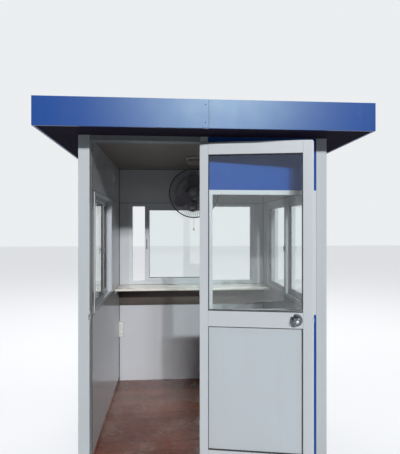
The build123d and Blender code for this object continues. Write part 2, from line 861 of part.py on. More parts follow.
# Guard: a rim ring, a front boss and a rear ring on the motor, with domed wires between them.
guard_back = swivel_y - guard_rear
guard_front = guard_back - guard_depth
guard_middle = (guard_back + guard_front) / 2
guard_ring_radius = motor_radius + guard_ring_width
with BuildPart() as guard_rim:
    with BuildSketch(Plane.YZ) as rim:
        with Locations((guard_middle, fan_z + guard_radius - guard_wire)):
            Rectangle(guard_rim_width, 2 * guard_wire)
    revolve(rim.sketch, axis=Axis((0, 0, fan_z), (0, 1, 0)))
save(guard_rim.part, "guard_rim")

with BuildPart() as guard_hubs:
    with BuildSketch(Plane.XZ.offset(-guard_front - guard_wire)) as boss:
        with Locations((0, fan_z)):
            Circle(guard_boss_radius)
    extrude(boss.sketch, amount=guard_wire)
    with BuildSketch(Plane.XZ.offset(-guard_back)) as rear_ring:
        with Locations((0, fan_z)):
            Circle(guard_ring_radius)
            Circle(motor_radius, mode=Mode.SUBTRACT)
    extrude(rear_ring.sketch, amount=guard_wire)
save(guard_hubs.part, "guard_hubs")

for label, face, way, inner in (
    ("guard_front_wires", guard_front, 1, guard_boss_radius),
    ("guard_rear_wires", guard_back, -1, guard_ring_radius),
):
    rim_y = guard_middle - way * guard_rim_width / 2
    rim_radius = guard_radius - guard_wire / 2
    with BuildPart() as guard_wires:
        for index in range(guard_spokes):
            turn = 2 * pi * index / guard_spokes
            spoke_plane = Plane(
                origin=(0, 0, fan_z),
                x_dir=(sin(turn), 0, cos(turn)),
                z_dir=(-cos(turn), 0, sin(turn)),
            )
            with BuildSketch(spoke_plane.offset(-guard_wire / 2)) as spoke:
                with BuildLine():
                    inside = face + way * guard_wire
                    bend = inner + guard_wire
                    TangentArc((bend, face), (rim_radius, rim_y), tangent=(1, 0))
                    Line((rim_radius, rim_y), (rim_radius - guard_wire, rim_y))
                    TangentArc((bend, inside), (rim_radius - guard_wire, rim_y), tangent=(1, 0))
                    Polyline((bend, inside), (inner, inside), (inner, face), (bend, face))
                make_face()
            extrude(spoke.sketch, amount=guard_wire)
    save(guard_wires.part, label)

# One blade, pointing up at the origin: a cambered strip trimmed to a petal's outline.
with BuildPart() as blade:
    strip = Plane(
        origin=(0, 0, hub_radius - blade_root),
        x_dir=(cos(radians(blade_pitch)), sin(radians(blade_pitch)), 0),
        z_dir=(0, 0, 1),
    )
    half_chord = blade_chord / 2
    with BuildSketch(strip) as camber:
        with BuildLine():
            ThreePointArc((-half_chord, 0), (0, blade_camber), (half_chord, 0))
            Line((half_chord, 0), (half_chord, -blade_thickness))
            ThreePointArc(
                (half_chord, -blade_thickness),
                (0, blade_camber - blade_thickness),
                (-half_chord, -blade_thickness),
            )
            Line((-half_chord, -blade_thickness), (-half_chord, 0))
        make_face()
    extrude(camber.sketch, amount=blade_tip - hub_radius + blade_root)
    petal_length = blade_tip - hub_radius + 2 * blade_root
    with BuildSketch(Plane.XZ) as petal:
        with Locations((0, blade_tip - petal_length / 2)):
            Ellipse(half_chord * cos(radians(blade_pitch)), petal_length / 2)
    extrude(petal.sketch, amount=half_chord, both=True, mode=Mode.INTERSECT)

# Rotor: the blades round a bevelled hub, with a blind bore for the shaft.
with BuildPart() as fan_rotor:
    with BuildSketch(Plane.XZ.offset(-hub_back)) as hub:
        with Locations((0, fan_z)):
            Circle(hub_radius)
    extrude(hub.sketch, amount=hub_length)
    chamfer(fan_rotor.faces().sort_by(Axis.Y)[0].edges(), length=hub_bevel)
    for index in range(blade_count):
        turn = 360 * index / blade_count
        with Locations(Location((0, hub_back - hub_length / 2, fan_z), (0, turn, 0))):
            add(blade.part)
    with BuildSketch(Plane.XZ.offset(-hub_back)) as shaft_bore:
        with Locations((0, fan_z)):
            Circle(shaft_radius + shaft_clearance)
    extrude(shaft_bore.sketch, amount=shaft_depth + shaft_clearance, mode=Mode.SUBTRACT)
save(fan_rotor.part, "fan_rotor")

# Pull cord from a hole in the base's foot, with a turned weight on its end.
cord_x = cord_offset
cord_y = fan_base_back - cord_reach
base_end_radius = fan_base_width / 2
base_end_rise = base_end_radius - (base_end_radius**2 - cord_offset**2) ** 0.5
cord_top = fan_base_foot + base_end_rise - cord_seat
with BuildPart() as fan_cord:
    with BuildSketch(Plane.XY.offset(cord_top - cord_length)) as cord_outline:
        with Locations((cord_x, cord_y)):
            Circle(cord_diameter / 2)
    extrude(cord_outline.sketch, amount=cord_length)
save(fan_cord.part, "fan_cord")

with BuildPart() as cord_weight:
    weight_top = cord_top - cord_length - cord_seat
    with BuildSketch(Plane.XZ.offset(-cord_y)) as weight_outline:
        with BuildLine():
            Polyline(
                (cord_x, weight_top - bob_length),
                (cord_x, weight_top),
                (cord_x + bob_radius * 0.4, weight_top),
                (cord_x + bob_radius, weight_top - bob_length * 0.7),
                (cord_x + bob_radius, weight_top - bob_length),
                close=True,
            )
        make_face()
    revolve(axis=Axis((cord_x, cord_y, 0), (0, 0, 1)))
save(cord_weight.part, "cord_weight")
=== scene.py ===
"""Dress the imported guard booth: finishes, glazing, trims, fixings, a wire-guarded fan and a studio.

Every length is in metres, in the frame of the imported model: +Z up, the front wall faces -Y, and
the ground is z = 0. Pieces are modelled in place, so each finished object sits at the origin.
"""
from __future__ import annotations

import json
import logging
import math
from dataclasses import dataclass
from enum import Enum

import bpy
from mathutils import Matrix, Vector

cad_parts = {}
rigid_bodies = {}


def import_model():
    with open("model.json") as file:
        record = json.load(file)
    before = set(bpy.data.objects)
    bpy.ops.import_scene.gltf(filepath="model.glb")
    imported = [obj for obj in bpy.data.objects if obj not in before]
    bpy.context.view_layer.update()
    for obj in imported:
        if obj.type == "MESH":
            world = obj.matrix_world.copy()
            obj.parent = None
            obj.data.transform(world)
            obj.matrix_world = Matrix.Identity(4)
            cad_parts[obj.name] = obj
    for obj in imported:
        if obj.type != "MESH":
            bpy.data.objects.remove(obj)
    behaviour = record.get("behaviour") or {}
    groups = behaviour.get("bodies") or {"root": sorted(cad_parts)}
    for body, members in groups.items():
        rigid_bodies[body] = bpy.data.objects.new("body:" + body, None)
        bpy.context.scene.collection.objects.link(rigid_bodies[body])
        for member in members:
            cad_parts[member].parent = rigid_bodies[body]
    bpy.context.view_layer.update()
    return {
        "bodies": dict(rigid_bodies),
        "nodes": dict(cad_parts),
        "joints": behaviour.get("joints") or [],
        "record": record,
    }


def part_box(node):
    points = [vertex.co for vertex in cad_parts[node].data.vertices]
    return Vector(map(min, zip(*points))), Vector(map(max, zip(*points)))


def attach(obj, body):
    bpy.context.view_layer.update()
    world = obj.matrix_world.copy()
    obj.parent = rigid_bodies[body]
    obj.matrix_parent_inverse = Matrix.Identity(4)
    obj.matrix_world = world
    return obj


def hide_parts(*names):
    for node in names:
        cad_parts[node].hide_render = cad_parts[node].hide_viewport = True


log = logging.getLogger("booth")
WALL_HALF = 0.75
ROOM_HALF = 0.684
SCREW_SPREAD = 0.4
SCREW_SINK = 0.001
BEVEL_SEGMENTS = 2
WELD_DISTANCE = 0.00001
UP = Vector((0, 0, 1))
Pair = tuple[float, float]
Triple = tuple[float, float, float]
Colour = tuple[float, float, float, float]
Material = bpy.types.Material
Piece = bpy.types.Object
Socket = bpy.types.NodeSocket
Tree = bpy.types.NodeTree
VISIBLE = ("Is Camera Ray", "Is Glossy Ray", "Is Transmission Ray")
UNBLOCKED = ("Is Shadow Ray", "Is Diffuse Ray")


class Body(str, Enum):
    """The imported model's rigid bodies that carry pieces of this script."""

    BOOTH = "booth"
    LEAF = "door_leaf"
    KNOBS = "knobs"
    HEAD = "fan_head"


class Side(Enum):
    """The four walls, each with the direction in which its outer face points."""

    FRONT = (0, -1)
    BACK = (0, 1)
    LEFT = (-1, 0)
    RIGHT = (1, 0)

    def node(self, part: str) -> str:
        """Name the CAD node of one of the wall's parts."""
        return f"{self.name.lower()}_{part}"


BLUE_SIDES = (Side.LEFT, Side.RIGHT, Side.BACK)
SLIDING = (Side.BACK, Side.LEFT, Side.RIGHT)


def around(middle: float, width: float) -> Pair:
    """Find the limits of a width about its middle."""
    return (middle - width / 2, middle + width / 2)


def grown(span: Pair, by: float) -> Pair:
    """Move both limits of a span outwards."""
    return (span[0] - by, span[1] + by)


def shifted(span: Pair, by: float) -> Pair:
    """Move both limits of a span the same way."""
    return (span[0] + by, span[1] + by)


def skins(out: Pair, depth: float, rise: float) -> tuple[Pair, Pair]:
    """Find the thin layers on a sheet's two faces, let in by a depth and proud by a rise."""
    return ((out[1] - depth, out[1] + rise), (out[0] - rise, out[0] + depth))


def linear(red: int, green: int, blue: int) -> Colour:
    """Turn a display colour into a linear one.

    Args:
        red: Red, from 0 to 255.
        green: Green, from 0 to 255.
        blue: Blue, from 0 to 255.

    Returns:
        The linear colour with an alpha of 1.
    """
    parts = []
    for value in (red, green, blue):
        share = value / 255
        parts.append(share / 12.92 if share <= 0.04045 else ((share + 0.055) / 1.055) ** 2.4)
    return (parts[0], parts[1], parts[2], 1.0)


# Shader nodes


def fill(node: bpy.types.Node, values: dict[str, object]) -> bpy.types.Node:
    """Set a node's inputs.

    Args:
        node: The node.
        values: The inputs' names, with underscores for spaces, and their values.

    Returns:
        The node.
    """
    for name, value in values.items():
        node.inputs[name.replace("_", " ")].default_value = value
    return node


class Wiring:
    """A shader node tree under construction."""

    def __init__(self, tree: Tree) -> None:
        """Take up a tree."""
        self.tree = tree

    def add(self, kind: str, **values: object) -> bpy.types.Node:
        """Add a node of a type, without its words Shader and Node, and set its inputs."""
        return fill(self.tree.nodes.new(f"ShaderNode{kind}"), values)

    def join(self, source: Socket, target: Socket) -> None:
        """Link two sockets."""
        self.tree.links.new(source, target)

    def math(self, operation: str, first: Socket, second: Socket | float) -> Socket:
        """Combine two values with a math node.

        Args:
            operation: The math node's operation.
            first: A socket.
            second: A socket or a number.

        Returns:
            The result's socket.
        """
        node = self.add("Math")
        node.operation = operation
        self.join(first, node.inputs[0])
        if isinstance(second, float):
            node.inputs[1].default_value = second
        else:
            self.join(second, node.inputs[1])
        return node.outputs["Value"]

    def times(self, first: Socket, second: Socket | float) -> Socket:
        """Multiply two values."""
        return self.math("MULTIPLY", first, second)

    def plus(self, first: Socket, second: Socket) -> Socket:
        """Add two values."""
        return self.math("ADD", first, second)

    def mix(self, share: Socket, first: Socket, second: Socket) -> Socket:
        """Blend two colours.

        Args:
            share: How much of the second colour shows.
            first: The first colour.
            second: The second colour.

        Returns:
            The blended colour's socket.
        """
        node = self.add("Mix")
        node.data_type = "RGBA"
        for name, socket in (("Factor", share), ("A", first), ("B", second)):
            self.join(socket, node.inputs[name])
        return node.outputs["Result"]

    def sharpen(self, source: Socket, low: float, high: float) -> Socket:
        """Map a value from low..high to 0..1, clamped.

        Args:
            source: The value socket.
            low: The value that becomes 0.
            high: The value that becomes 1.

        Returns:
            The mapped value's socket.
        """
        node = self.add("MapRange", From_Min=low, From_Max=high)
        self.join(source, node.inputs["Value"])
        return node.outputs["Result"]

    def noise(
        self, scale: float, detail: float, stretch: Triple = (1, 1, 1), distortion: float = 0.0
    ) -> Socket:
        """Add a noise texture on Object coordinates.

        Args:
            scale: The noise's scale per metre.
            detail: Its detail.
            stretch: The scale along each axis.
            distortion: Its distortion.

        Returns:
            The noise's value socket.
        """
        place = self.add("TexCoord")
        turn = self.add("Mapping", Scale=stretch)
        cloud = self.add("TexNoise", Scale=scale, Detail=detail, Distortion=distortion)
        self.join(place.outputs["Object"], turn.inputs["Vector"])
        self.join(turn.outputs["Vector"], cloud.inputs["Vector"])
        return cloud.outputs["Fac"]

    def rays(self, *kinds: str) -> Socket:
        """Find the light path's rays of any of the given kinds.

        Args:
            *kinds: The Light Path node's outputs.

        Returns:
            A socket that is 1 for those rays and 0 for the others.
        """
        path = self.add("LightPath").outputs
        seen = path[kinds[0]]
        for kind in kinds[1:]:
            seen = self.math("MAXIMUM", seen, path[kind])
        return seen


class Effect(Wiring):
    """A node group under construction, with the outputs Color, Roughness and Height."""

    def __init__(self, name: str, **defaults: Colour | float) -> None:
        """Start a group.

        Args:
            name: The group's name.
            **defaults: Its inputs, with underscores for spaces, and what they start with.
        """
        super().__init__(bpy.data.node_groups.new(name, "ShaderNodeTree"))
        sockets = self.tree.interface
        for title, value in defaults.items():
            kind = "NodeSocketColor" if isinstance(value, tuple) else "NodeSocketFloat"
            entry = sockets.new_socket(name=title.replace("_", " "), in_out="INPUT", socket_type=kind)
            entry.default_value = value
        for title, kind in (("Color", "Color"), ("Roughness", "Float"), ("Height", "Float")):
            sockets.new_socket(name=title, in_out="OUTPUT", socket_type=f"NodeSocket{kind}")
        self.inputs = self.tree.nodes.new("NodeGroupInput").outputs

    def finish(self, color: Socket, roughness: Socket, height: Socket) -> Tree:
        """Link the three outputs.

        Args:
            color: The base colour's socket.
            roughness: The roughness's socket.
            height: The bump's socket.

        Returns:
            The node group.
        """
        exits = self.tree.nodes.new("NodeGroupOutput").inputs
        for name, socket in (("Color", color), ("Roughness", roughness), ("Height", height)):
            self.join(socket, exits[name])
        return self.tree

    def height_above_ground(self) -> Socket:
        """Read the Z of the Object coordinates.

        Returns:
            Its socket.
        """
        split = self.add("SeparateXYZ")
        self.join(self.add("TexCoord").outputs["Object"], split.inputs["Vector"])
        return split.outputs["Z"]


def painted_sheet_effect() -> Tree:
    """Build the look of coated sheet: faint mottling, rising dust, scuffs and a wavy surface.

    Returns:
        The node group.
    """
    effect = Effect(
        "painted_sheet",
        Paint=(0.8, 0.8, 0.8, 1),
        Dust=(0.35, 0.31, 0.27, 1),
        Dust_amount=0.15,
        Scuffs=0.1,
        Gloss=0.3,
        Waviness=0.5,
    )
    inputs = effect.inputs
    rising = effect.sharpen(effect.height_above_ground(), 0.75, 0.1)
    patches = effect.sharpen(effect.noise(3.0, 5.0), 0.42, 0.78)
    runs = effect.sharpen(effect.noise(5.0, 3.0, (6, 6, 0.35)), 0.5, 0.85)
    film = effect.plus(effect.times(rising, patches), effect.times(runs, 0.5))
    film = effect.times(film, inputs["Dust amount"])
    marks = effect.sharpen(effect.noise(26.0, 8.0, (0.35, 0.35, 1.8)), 0.66, 0.8)
    marks = effect.times(marks, inputs["Scuffs"])
    dusty = effect.mix(film, inputs["Paint"], inputs["Dust"])
    worn = effect.mix(marks, dusty, inputs["Dust"])
    rough = effect.plus(inputs["Gloss"], effect.times(film, 0.5))
    rough = effect.plus(rough, effect.times(marks, 0.4))
    rough = effect.plus(rough, effect.times(effect.noise(9.0, 3.0), 0.05))
    waves = effect.times(effect.noise(2.2, 1.0), inputs["Waviness"])
    peel = effect.times(effect.noise(420.0, 2.0), 0.004)
    return effect.finish(worn, rough, effect.plus(waves, peel))


def fine_metal_effect() -> Tree:
    """Build the look of bare metal: fine lines along Z, smears and small pits.

    Returns:
        The node group.
    """
    effect = Effect(
        "fine_metal", Metal=(0.6, 0.6, 0.6, 1), Stain=(0.25, 0.2, 0.16, 1), Stains=0.15, Gloss=0.25
    )
    inputs = effect.inputs
    blots = effect.sharpen(effect.noise(60.0, 6.0), 0.52, 0.75)
    blots = effect.times(blots, inputs["Stains"])
    lines = effect.noise(40.0, 4.0, (30, 30, 1))
    rough = effect.plus(inputs["Gloss"], effect.times(lines, 0.12))
    rough = effect.plus(rough, effect.times(blots, 0.5))
    return effect.finish(effect.mix(blots, inputs["Metal"], inputs["Stain"]), rough, lines)


def moulding_effect() -> Tree:
    """Build the look of moulded plastic: a fine spark texture, dust and slight yellowing.

    Returns:
        The node group.
    """
    effect = Effect(
        "moulding", Plastic=(0.7, 0.7, 0.7, 1), Aged=(0.6, 0.55, 0.42, 1), Ageing=0.2, Gloss=0.4
    )
    inputs = effect.inputs
    cast = effect.sharpen(effect.noise(7.0, 4.0), 0.3, 0.8)
    cast = effect.times(cast, inputs["Ageing"])
    rough = effect.plus(inputs["Gloss"], effect.times(cast, 0.4))
    colour = effect.mix(cast, inputs["Plastic"], inputs["Aged"])
    return effect.finish(colour, rough, effect.noise(900.0, 2.0))


@dataclass
class Effects:
    """The node groups that the finishes share."""

    sheet: Tree
    metal: Tree
    plastic: Tree

    @classmethod
    def build(cls) -> Effects:
        """Build each group once."""
        return cls(painted_sheet_effect(), fine_metal_effect(), moulding_effect())


# Finishes


class Workbench(Wiring):
    """A material under construction, with its Principled shader."""

    def __init__(self, name: str) -> None:
        """Start a material with its output and main shader.

        Args:
            name: The material's name.
        """
        self.material = bpy.data.materials.new(name)
        self.material.use_nodes = True
        super().__init__(self.material.node_tree)
        self.shader = self.tree.nodes["Principled BSDF"]

    def set(self, **values: Colour | float) -> None:
        """Set constants on the main shader's own sockets."""
        fill(self.shader, values)

    def place(self, effect: Tree, **values: object) -> bpy.types.Node:
        """Place an effect group.

        Args:
            effect: The node group.
            **values: Its inputs' names, with underscores for spaces, and their values.

        Returns:
            The group's node.
        """
        node = self.add("Group")
        node.node_tree = effect
        return fill(node, values)

    def wire(self, node: bpy.types.Node, bump: float, depth: float) -> Material:
        """Feed the shader from an effect node.

        Args:
            node: The placed group.
            bump: The bump's strength.
            depth: The bump's distance in metres.

        Returns:
            The material.
        """
        relief = self.add("Bump", Strength=bump, Distance=depth)
        self.join(node.outputs["Color"], self.shader.inputs["Base Color"])
        self.join(node.outputs["Roughness"], self.shader.inputs["Roughness"])
        self.join(node.outputs["Height"], relief.inputs["Height"])
        self.join(relief.outputs["Normal"], self.shader.inputs["Normal"])
        return self.material

    def ramp(self, source: Socket, *stops: tuple[float, Colour]) -> Socket:
        """Colour a value with a ramp.

        Args:
            source: The value socket.
            *stops: The place and colour of each end.

        Returns:
            The colour's socket.
        """
        node = self.add("ValToRGB")
        for element, (position, colour) in zip(node.color_ramp.elements, stops):
            element.position = position
            element.color = colour
        self.join(source, node.inputs["Fac"])
        return node.outputs["Color"]


@dataclass(frozen=True)
class Finish:
    """A named surface with its main colour."""

    name: str
    colour: Colour

    def build(self, effects: Effects) -> Material:
        """Make the material.

        Args:
            effects: The shared node groups.

        Returns:
            The material.
        """
        raise NotImplementedError


@dataclass(frozen=True)
class SheetPaint(Finish):
    """Coated steel or aluminium sheet."""

    gloss: float = 0.3
    dust: float = 0.15
    scuffs: float = 0.1
    waviness: float = 0.5
    coat: float = 0.0
    coat_roughness: float = 0.12
    shine: float = 0.5
    glint: Colour = (1.0, 1.0, 1.0, 1.0)

    def build(self, effects: Effects) -> Material:
        """Make the material.

        Args:
            effects: The shared node groups.

        Returns:
            The material.
        """
        bench = Workbench(self.name)
        node = bench.place(
            effects.sheet,
            Paint=self.colour,
            Dust_amount=self.dust,
            Scuffs=self.scuffs,
            Gloss=self.gloss,
            Waviness=self.waviness,
        )
        bench.set(Coat_Weight=self.coat, Coat_Roughness=self.coat_roughness)
        bench.set(Specular_IOR_Level=self.shine, Specular_Tint=self.glint)
        return bench.wire(node, bump=0.5, depth=0.004)


@dataclass(frozen=True)
class BareMetal(Finish):
    """Chrome, brushed steel or galvanised sheet."""

    gloss: float = 0.2
    stains: float = 0.1
    bump: float = 0.05

    def build(self, effects: Effects) -> Material:
        """Make the material.

        Args:
            effects: The shared node groups.

        Returns:
            The material.
        """
        bench = Workbench(self.name)
        bench.set(Metallic=1.0)
        node = bench.place(effects.metal, Metal=self.colour, Stains=self.stains, Gloss=self.gloss)
        return bench.wire(node, self.bump, depth=0.0005)


@dataclass(frozen=True)
class Moulding(Finish):
    """Moulded or extruded plastic and rubber."""

    gloss: float = 0.4
    ageing: float = 0.2
    coat: float = 0.0

    def build(self, effects: Effects) -> Material:
        """Make the material.

        Args:
            effects: The shared node groups.

        Returns:
            The material.
        """
        bench = Workbench(self.name)
        bench.set(Coat_Weight=self.coat)
        node = bench.place(effects.plastic, Plastic=self.colour, Ageing=self.ageing, Gloss=self.gloss)
        return bench.wire(node, bump=0.12, depth=0.0002)


@dataclass(frozen=True)
class Glazing(Finish):
    """Clear float glass that lets the lamps' light through."""

    smudges: float = 0.03
    shine: float = 0.12

    def build(self, effects: Effects) -> Material:
        """Make the material.

        Args:
            effects: The shared node groups.

        Returns:
            The material.
        """
        bench = Workbench(self.name)
        bench.set(Base_Color=self.colour, Transmission_Weight=1.0, IOR=1.45)
        bench.set(Specular_IOR_Level=self.shine)
        node = bench.place(effects.sheet, Gloss=0.0, Scuffs=0.02, Dust_amount=self.smudges)
        clear = bench.add("BsdfTransparent", Color=self.colour)
        blend = bench.add("MixShader")
        surface = bench.tree.nodes["Material Output"].inputs["Surface"]
        bench.join(node.outputs["Roughness"], bench.shader.inputs["Roughness"])
        bench.join(bench.rays(*UNBLOCKED), blend.inputs["Fac"])
        bench.join(bench.shader.outputs["BSDF"], blend.inputs[1])
        bench.join(clear.outputs["BSDF"], blend.inputs[2])
        bench.join(blend.outputs["Shader"], surface)
        return bench.material


@dataclass(frozen=True)
class PlankVinyl(Finish):
    """Printed vinyl flooring: boards along X with fine grain, seams and a glossy wear layer."""

    dark: Colour
    board_width: float = 0.11
    board_length: float = 0.9
    seam: float = 0.0012
    gloss: float = 0.16

    def build(self, effects: Effects) -> Material:
        """Make the material.

        Args:
            effects: The shared node groups.

        Returns:
            The material.
        """
        bench = Workbench(self.name)
        place = bench.add("TexCoord")
        boards = bench.add(
            "TexBrick",
            Scale=1.0,
            Brick_Width=self.board_length,
            Row_Height=self.board_width,
            Mortar_Size=self.seam,
            Mortar_Smooth=0.2,
            Color1=self.colour,
            Color2=self.dark,
            Mortar=(*(part * 0.35 for part in self.dark[:3]), 1),
        )
        fibres = bench.noise(5.0, 9.0, (1.6, 22.0, 1.0), distortion=0.6)
        grain = bench.ramp(fibres, (0.32, (0.30, 0.22, 0.20, 1)), (0.72, (1, 1, 1, 1)))
        stain = bench.add("Mix", Factor=0.75)
        stain.data_type = "RGBA"
        stain.blend_type = "MULTIPLY"
        dust = bench.place(effects.sheet, Dust_amount=0.5, Scuffs=0.25, Gloss=self.gloss, Waviness=0.9)
        bench.join(place.outputs["Object"], boards.inputs["Vector"])
        bench.join(boards.outputs["Color"], stain.inputs["A"])
        bench.join(grain, stain.inputs["B"])
        bench.join(stain.outputs["Result"], dust.inputs["Paint"])
        bench.set(Coat_Weight=0.2, Coat_Roughness=0.08, Specular_IOR_Level=0.25)
        return bench.wire(dust, bump=0.6, depth=0.004)


@dataclass(frozen=True)
class PlyBoard(Finish):
    """Plywood seen under the floor."""

    dark: Colour

    def build(self, effects: Effects) -> Material:
        """Make the material.

        Args:
            effects: The shared node groups.

        Returns:
            The material.
        """
        bench = Workbench(self.name)
        fibres = bench.noise(3.0, 8.0, (14.0, 1.4, 60.0))
        grain = bench.ramp(fibres, (0.35, self.dark), (0.7, self.colour))
        dust = bench.place(effects.sheet, Dust_amount=0.3, Gloss=0.6)
        bench.join(grain, dust.inputs["Paint"])
        return bench.wire(dust, bump=0.5, depth=0.001)


FINISHES = (
    SheetPaint("post_white", linear(184, 191, 196), 0.34, dust=0.3, scuffs=0.15, shine=0.2),
    # painted shade: the door head is painted a grey darker than the posts' white, standing for the deep
    # shade it sits in under the eave
    SheetPaint("head_grey", linear(128, 134, 138), 0.4, dust=0.3, shine=0.15),
    SheetPaint("leaf_white", linear(192, 198, 203), 0.32, dust=0.1, scuffs=0.06, shine=0.2),
    SheetPaint("leaf_panel_white", linear(186, 194, 201), scuffs=0.05, waviness=1.0, shine=0.2),
    SheetPaint("wall_white", linear(190, 193, 198), 0.1, waviness=0.4, shine=0.16),
    SheetPaint("frame_white", linear(198, 203, 208), shine=0.25),
    SheetPaint("blue_gloss", linear(10, 74, 152), 0.42, dust=0.08, waviness=0.6, shine=0.07),
    SheetPaint(
        "fascia_blue",
        linear(4, 61, 142),
        dust=0.05,
        scuffs=0.12,
        waviness=0.2,
        shine=0.33,
        glint=(0.78, 1.0, 0.9, 1.0),
    ),
    SheetPaint("seam_blue", linear(16, 30, 84), 0.4),
    SheetPaint("soffit_navy", linear(46, 40, 56), 0.75, dust=0.1, shine=0.02),
    SheetPaint("ceiling_grey", linear(130, 126, 122), 0.5, dust=0.1, shine=0.1),
    SheetPaint("base_grey", linear(92, 96, 100), 0.45, dust=0.6, scuffs=0.4, coat=0.2),
    SheetPaint("roof_metal", linear(150, 158, 166), 0.35, dust=0.4, scuffs=0.3, coat=0.2),
    SheetPaint("wire_grey", linear(46, 44, 50), 0.28, dust=0.1, coat=0.3),
    # painted reflection: both chromes have a low, mid-grey reflectance that stands for the dark
    # surroundings they mirror
    BareMetal("chrome", linear(104, 106, 112), 0.07, stains=0.05, bump=0.0),
    BareMetal("knob_chrome", linear(120, 122, 128), 0.06, stains=0.08, bump=0.0),
    BareMetal("hinge_steel", linear(176, 178, 180), 0.28, stains=0.2),
    BareMetal("zinc", linear(186, 190, 194), 0.35, stains=0.25),
    Moulding("gasket_black", linear(26, 27, 30), 0.45, ageing=0.05),
    Moulding("joint_dark", linear(40, 41, 44), 0.6, ageing=0.1),
    Moulding("fan_grey", linear(112, 116, 124), 0.3, ageing=0.1, coat=0.2),
    Moulding("blade_blue", linear(150, 148, 162), 0.2, ageing=0.05, coat=0.3),
    Moulding("switch_white", linear(208, 208, 208), 0.35, ageing=0.08),
    Moulding("counter_cream", linear(222, 218, 208), 0.22, coat=0.25),
    # painted shade: the ledger's near-black brown copies the shaded band under the counter
    Moulding("ledger_brown", linear(70, 62, 58), 0.5, ageing=0.05),
    Moulding("band_cream", linear(232, 228, 218), 0.3, ageing=0.15),
    # painted shade: the opal cover's white is darkened to grey, standing for the dim shade it hangs in
    # under the ceiling
    Moulding("lamp_opal", linear(122, 117, 112), 0.3, ageing=0.25),
    Moulding("cord_white", linear(205, 204, 198), 0.7),
    Glazing("float_glass", linear(248, 251, 251)),
    PlankVinyl("plank_vinyl", linear(164, 104, 84), linear(124, 70, 56)),
    PlyBoard("plywood", linear(190, 160, 120), linear(140, 108, 74)),
)

NODES_BY_FINISH = {
    "base_grey": ("base_side_beams", "base_cross_beams", "roof_beams"),
    "plywood": ("floor_board",),
    "plank_vinyl": ("floor_vinyl",),
    "post_white": ("corner_posts", "door_jamb", "door_sill"),
    "head_grey": ("door_head",),
    "wall_white": (*(side.node("wall_panels") for side in Side), "wall_strips"),
    "blue_gloss": ("outer_cladding",),
    "frame_white": tuple(
        side.node(part) for part in ("window_frame", "window_sashes") for side in Side
    ),
    "float_glass": ("window_panes", "door_glass"),
    "ceiling_grey": ("ceiling_panel",),
    "soffit_navy": ("soffit_front_back", "soffit_sides"),
    "roof_metal": ("roof_sheet",),
    "fascia_blue": ("fascia_front_left", "fascia_front_right", "fascia_sides", "fascia_back"),
    "counter_cream": ("counter",),
    "lamp_opal": ("ceiling_lamp",),
    "switch_white": ("socket_box", "cord_weight"),
    "leaf_white": ("door_frame",),
    "leaf_panel_white": ("door_panel",),
    "hinge_steel": ("jamb_hinges", "leaf_hinges", "latch_bolt"),
    "chrome": ("knob_roses", "door_knobs"),
    "fan_grey": ("fan_base", "fan_neck", "fan_motor"),
    "wire_grey": ("guard_rim", "guard_hubs", "guard_front_wires", "guard_rear_wires"),
    "blade_blue": ("fan_rotor",),
    "cord_white": ("fan_cord",),
}


# Modelling tools


def deselect() -> None:
    """Leave object mode's selection empty."""
    if bpy.context.object and bpy.context.object.mode != "OBJECT":
        bpy.ops.object.mode_set(mode="OBJECT")
    bpy.ops.object.select_all(action="DESELECT")


def only(piece: Piece) -> None:
    """Select one object alone and make it the active one.

    Args:
        piece: The object.
    """
    deselect()
    piece.select_set(True)
    bpy.context.view_layer.objects.active = piece


def settle(piece: Piece) -> Piece:
    """Apply an object's place, turn and size to its mesh.

    Args:
        piece: The object.

    Returns:
        The object.
    """
    only(piece)
    bpy.ops.object.transform_apply(location=True, rotation=True, scale=True)
    return piece


def stood(piece: Piece, place: Matrix) -> Piece:
    """Move a piece by a matrix and settle it there."""
    piece.matrix_world = place @ piece.matrix_world
    return settle(piece)


def edit(piece: Piece) -> None:
    """Enter edit mode with everything selected.

    Args:
        piece: The object to edit.
    """
    only(piece)
    bpy.ops.object.mode_set(mode="EDIT")
    bpy.ops.mesh.select_mode(type="FACE")
    bpy.ops.mesh.select_all(action="SELECT")


def close(piece: Piece) -> Piece:
    """Turn the normals outwards and leave edit mode.

    Args:
        piece: The object being edited.

    Returns:
        The object.
    """
    bpy.ops.mesh.select_all(action="SELECT")
    bpy.ops.mesh.normals_make_consistent(inside=False)
    bpy.ops.object.mode_set(mode="OBJECT")
    return piece


def soften(piece: Piece, width: float) -> Piece:
    """Round an object's sharp edges with an applied Bevel modifier.

    Args:
        piece: The object.
        width: The bevel's width.

    Returns:
        The object.
    """
    only(piece)
    bevel = piece.modifiers.new("edges", "BEVEL")
    bevel.width = width
    bevel.segments = BEVEL_SEGMENTS
    bevel.limit_method = "ANGLE"
    bpy.ops.object.modifier_apply(modifier=bevel.name)
    return piece


def carve(piece: Piece, cutter: Piece) -> Piece:
    """Cut one object's shape out of another, and delete the cutter.

    Args:
        piece: The object that is cut.
        cutter: The shape that comes out of it.

    Returns:
        The cut object.
    """
    cut = piece.modifiers.new("cut", "BOOLEAN")
    cut.operation = "DIFFERENCE"
    cut.object = cutter
    cut.solver = "EXACT"
    only(piece)
    bpy.ops.object.modifier_apply(modifier=cut.name)
    bpy.data.objects.remove(cutter)
    return piece


def merged(name: str, pieces: list[Piece]) -> Piece:
    """Join pieces into one object.

    Args:
        name: The joined object's name.
        pieces: The objects to join.

    Returns:
        The joined object.
    """
    deselect()
    for piece in pieces:
        piece.select_set(True)
    bpy.context.view_layer.objects.active = pieces[0]
    if len(pieces) > 1:
        bpy.ops.object.join()
    joined = bpy.context.object
    joined.name = name
    return joined


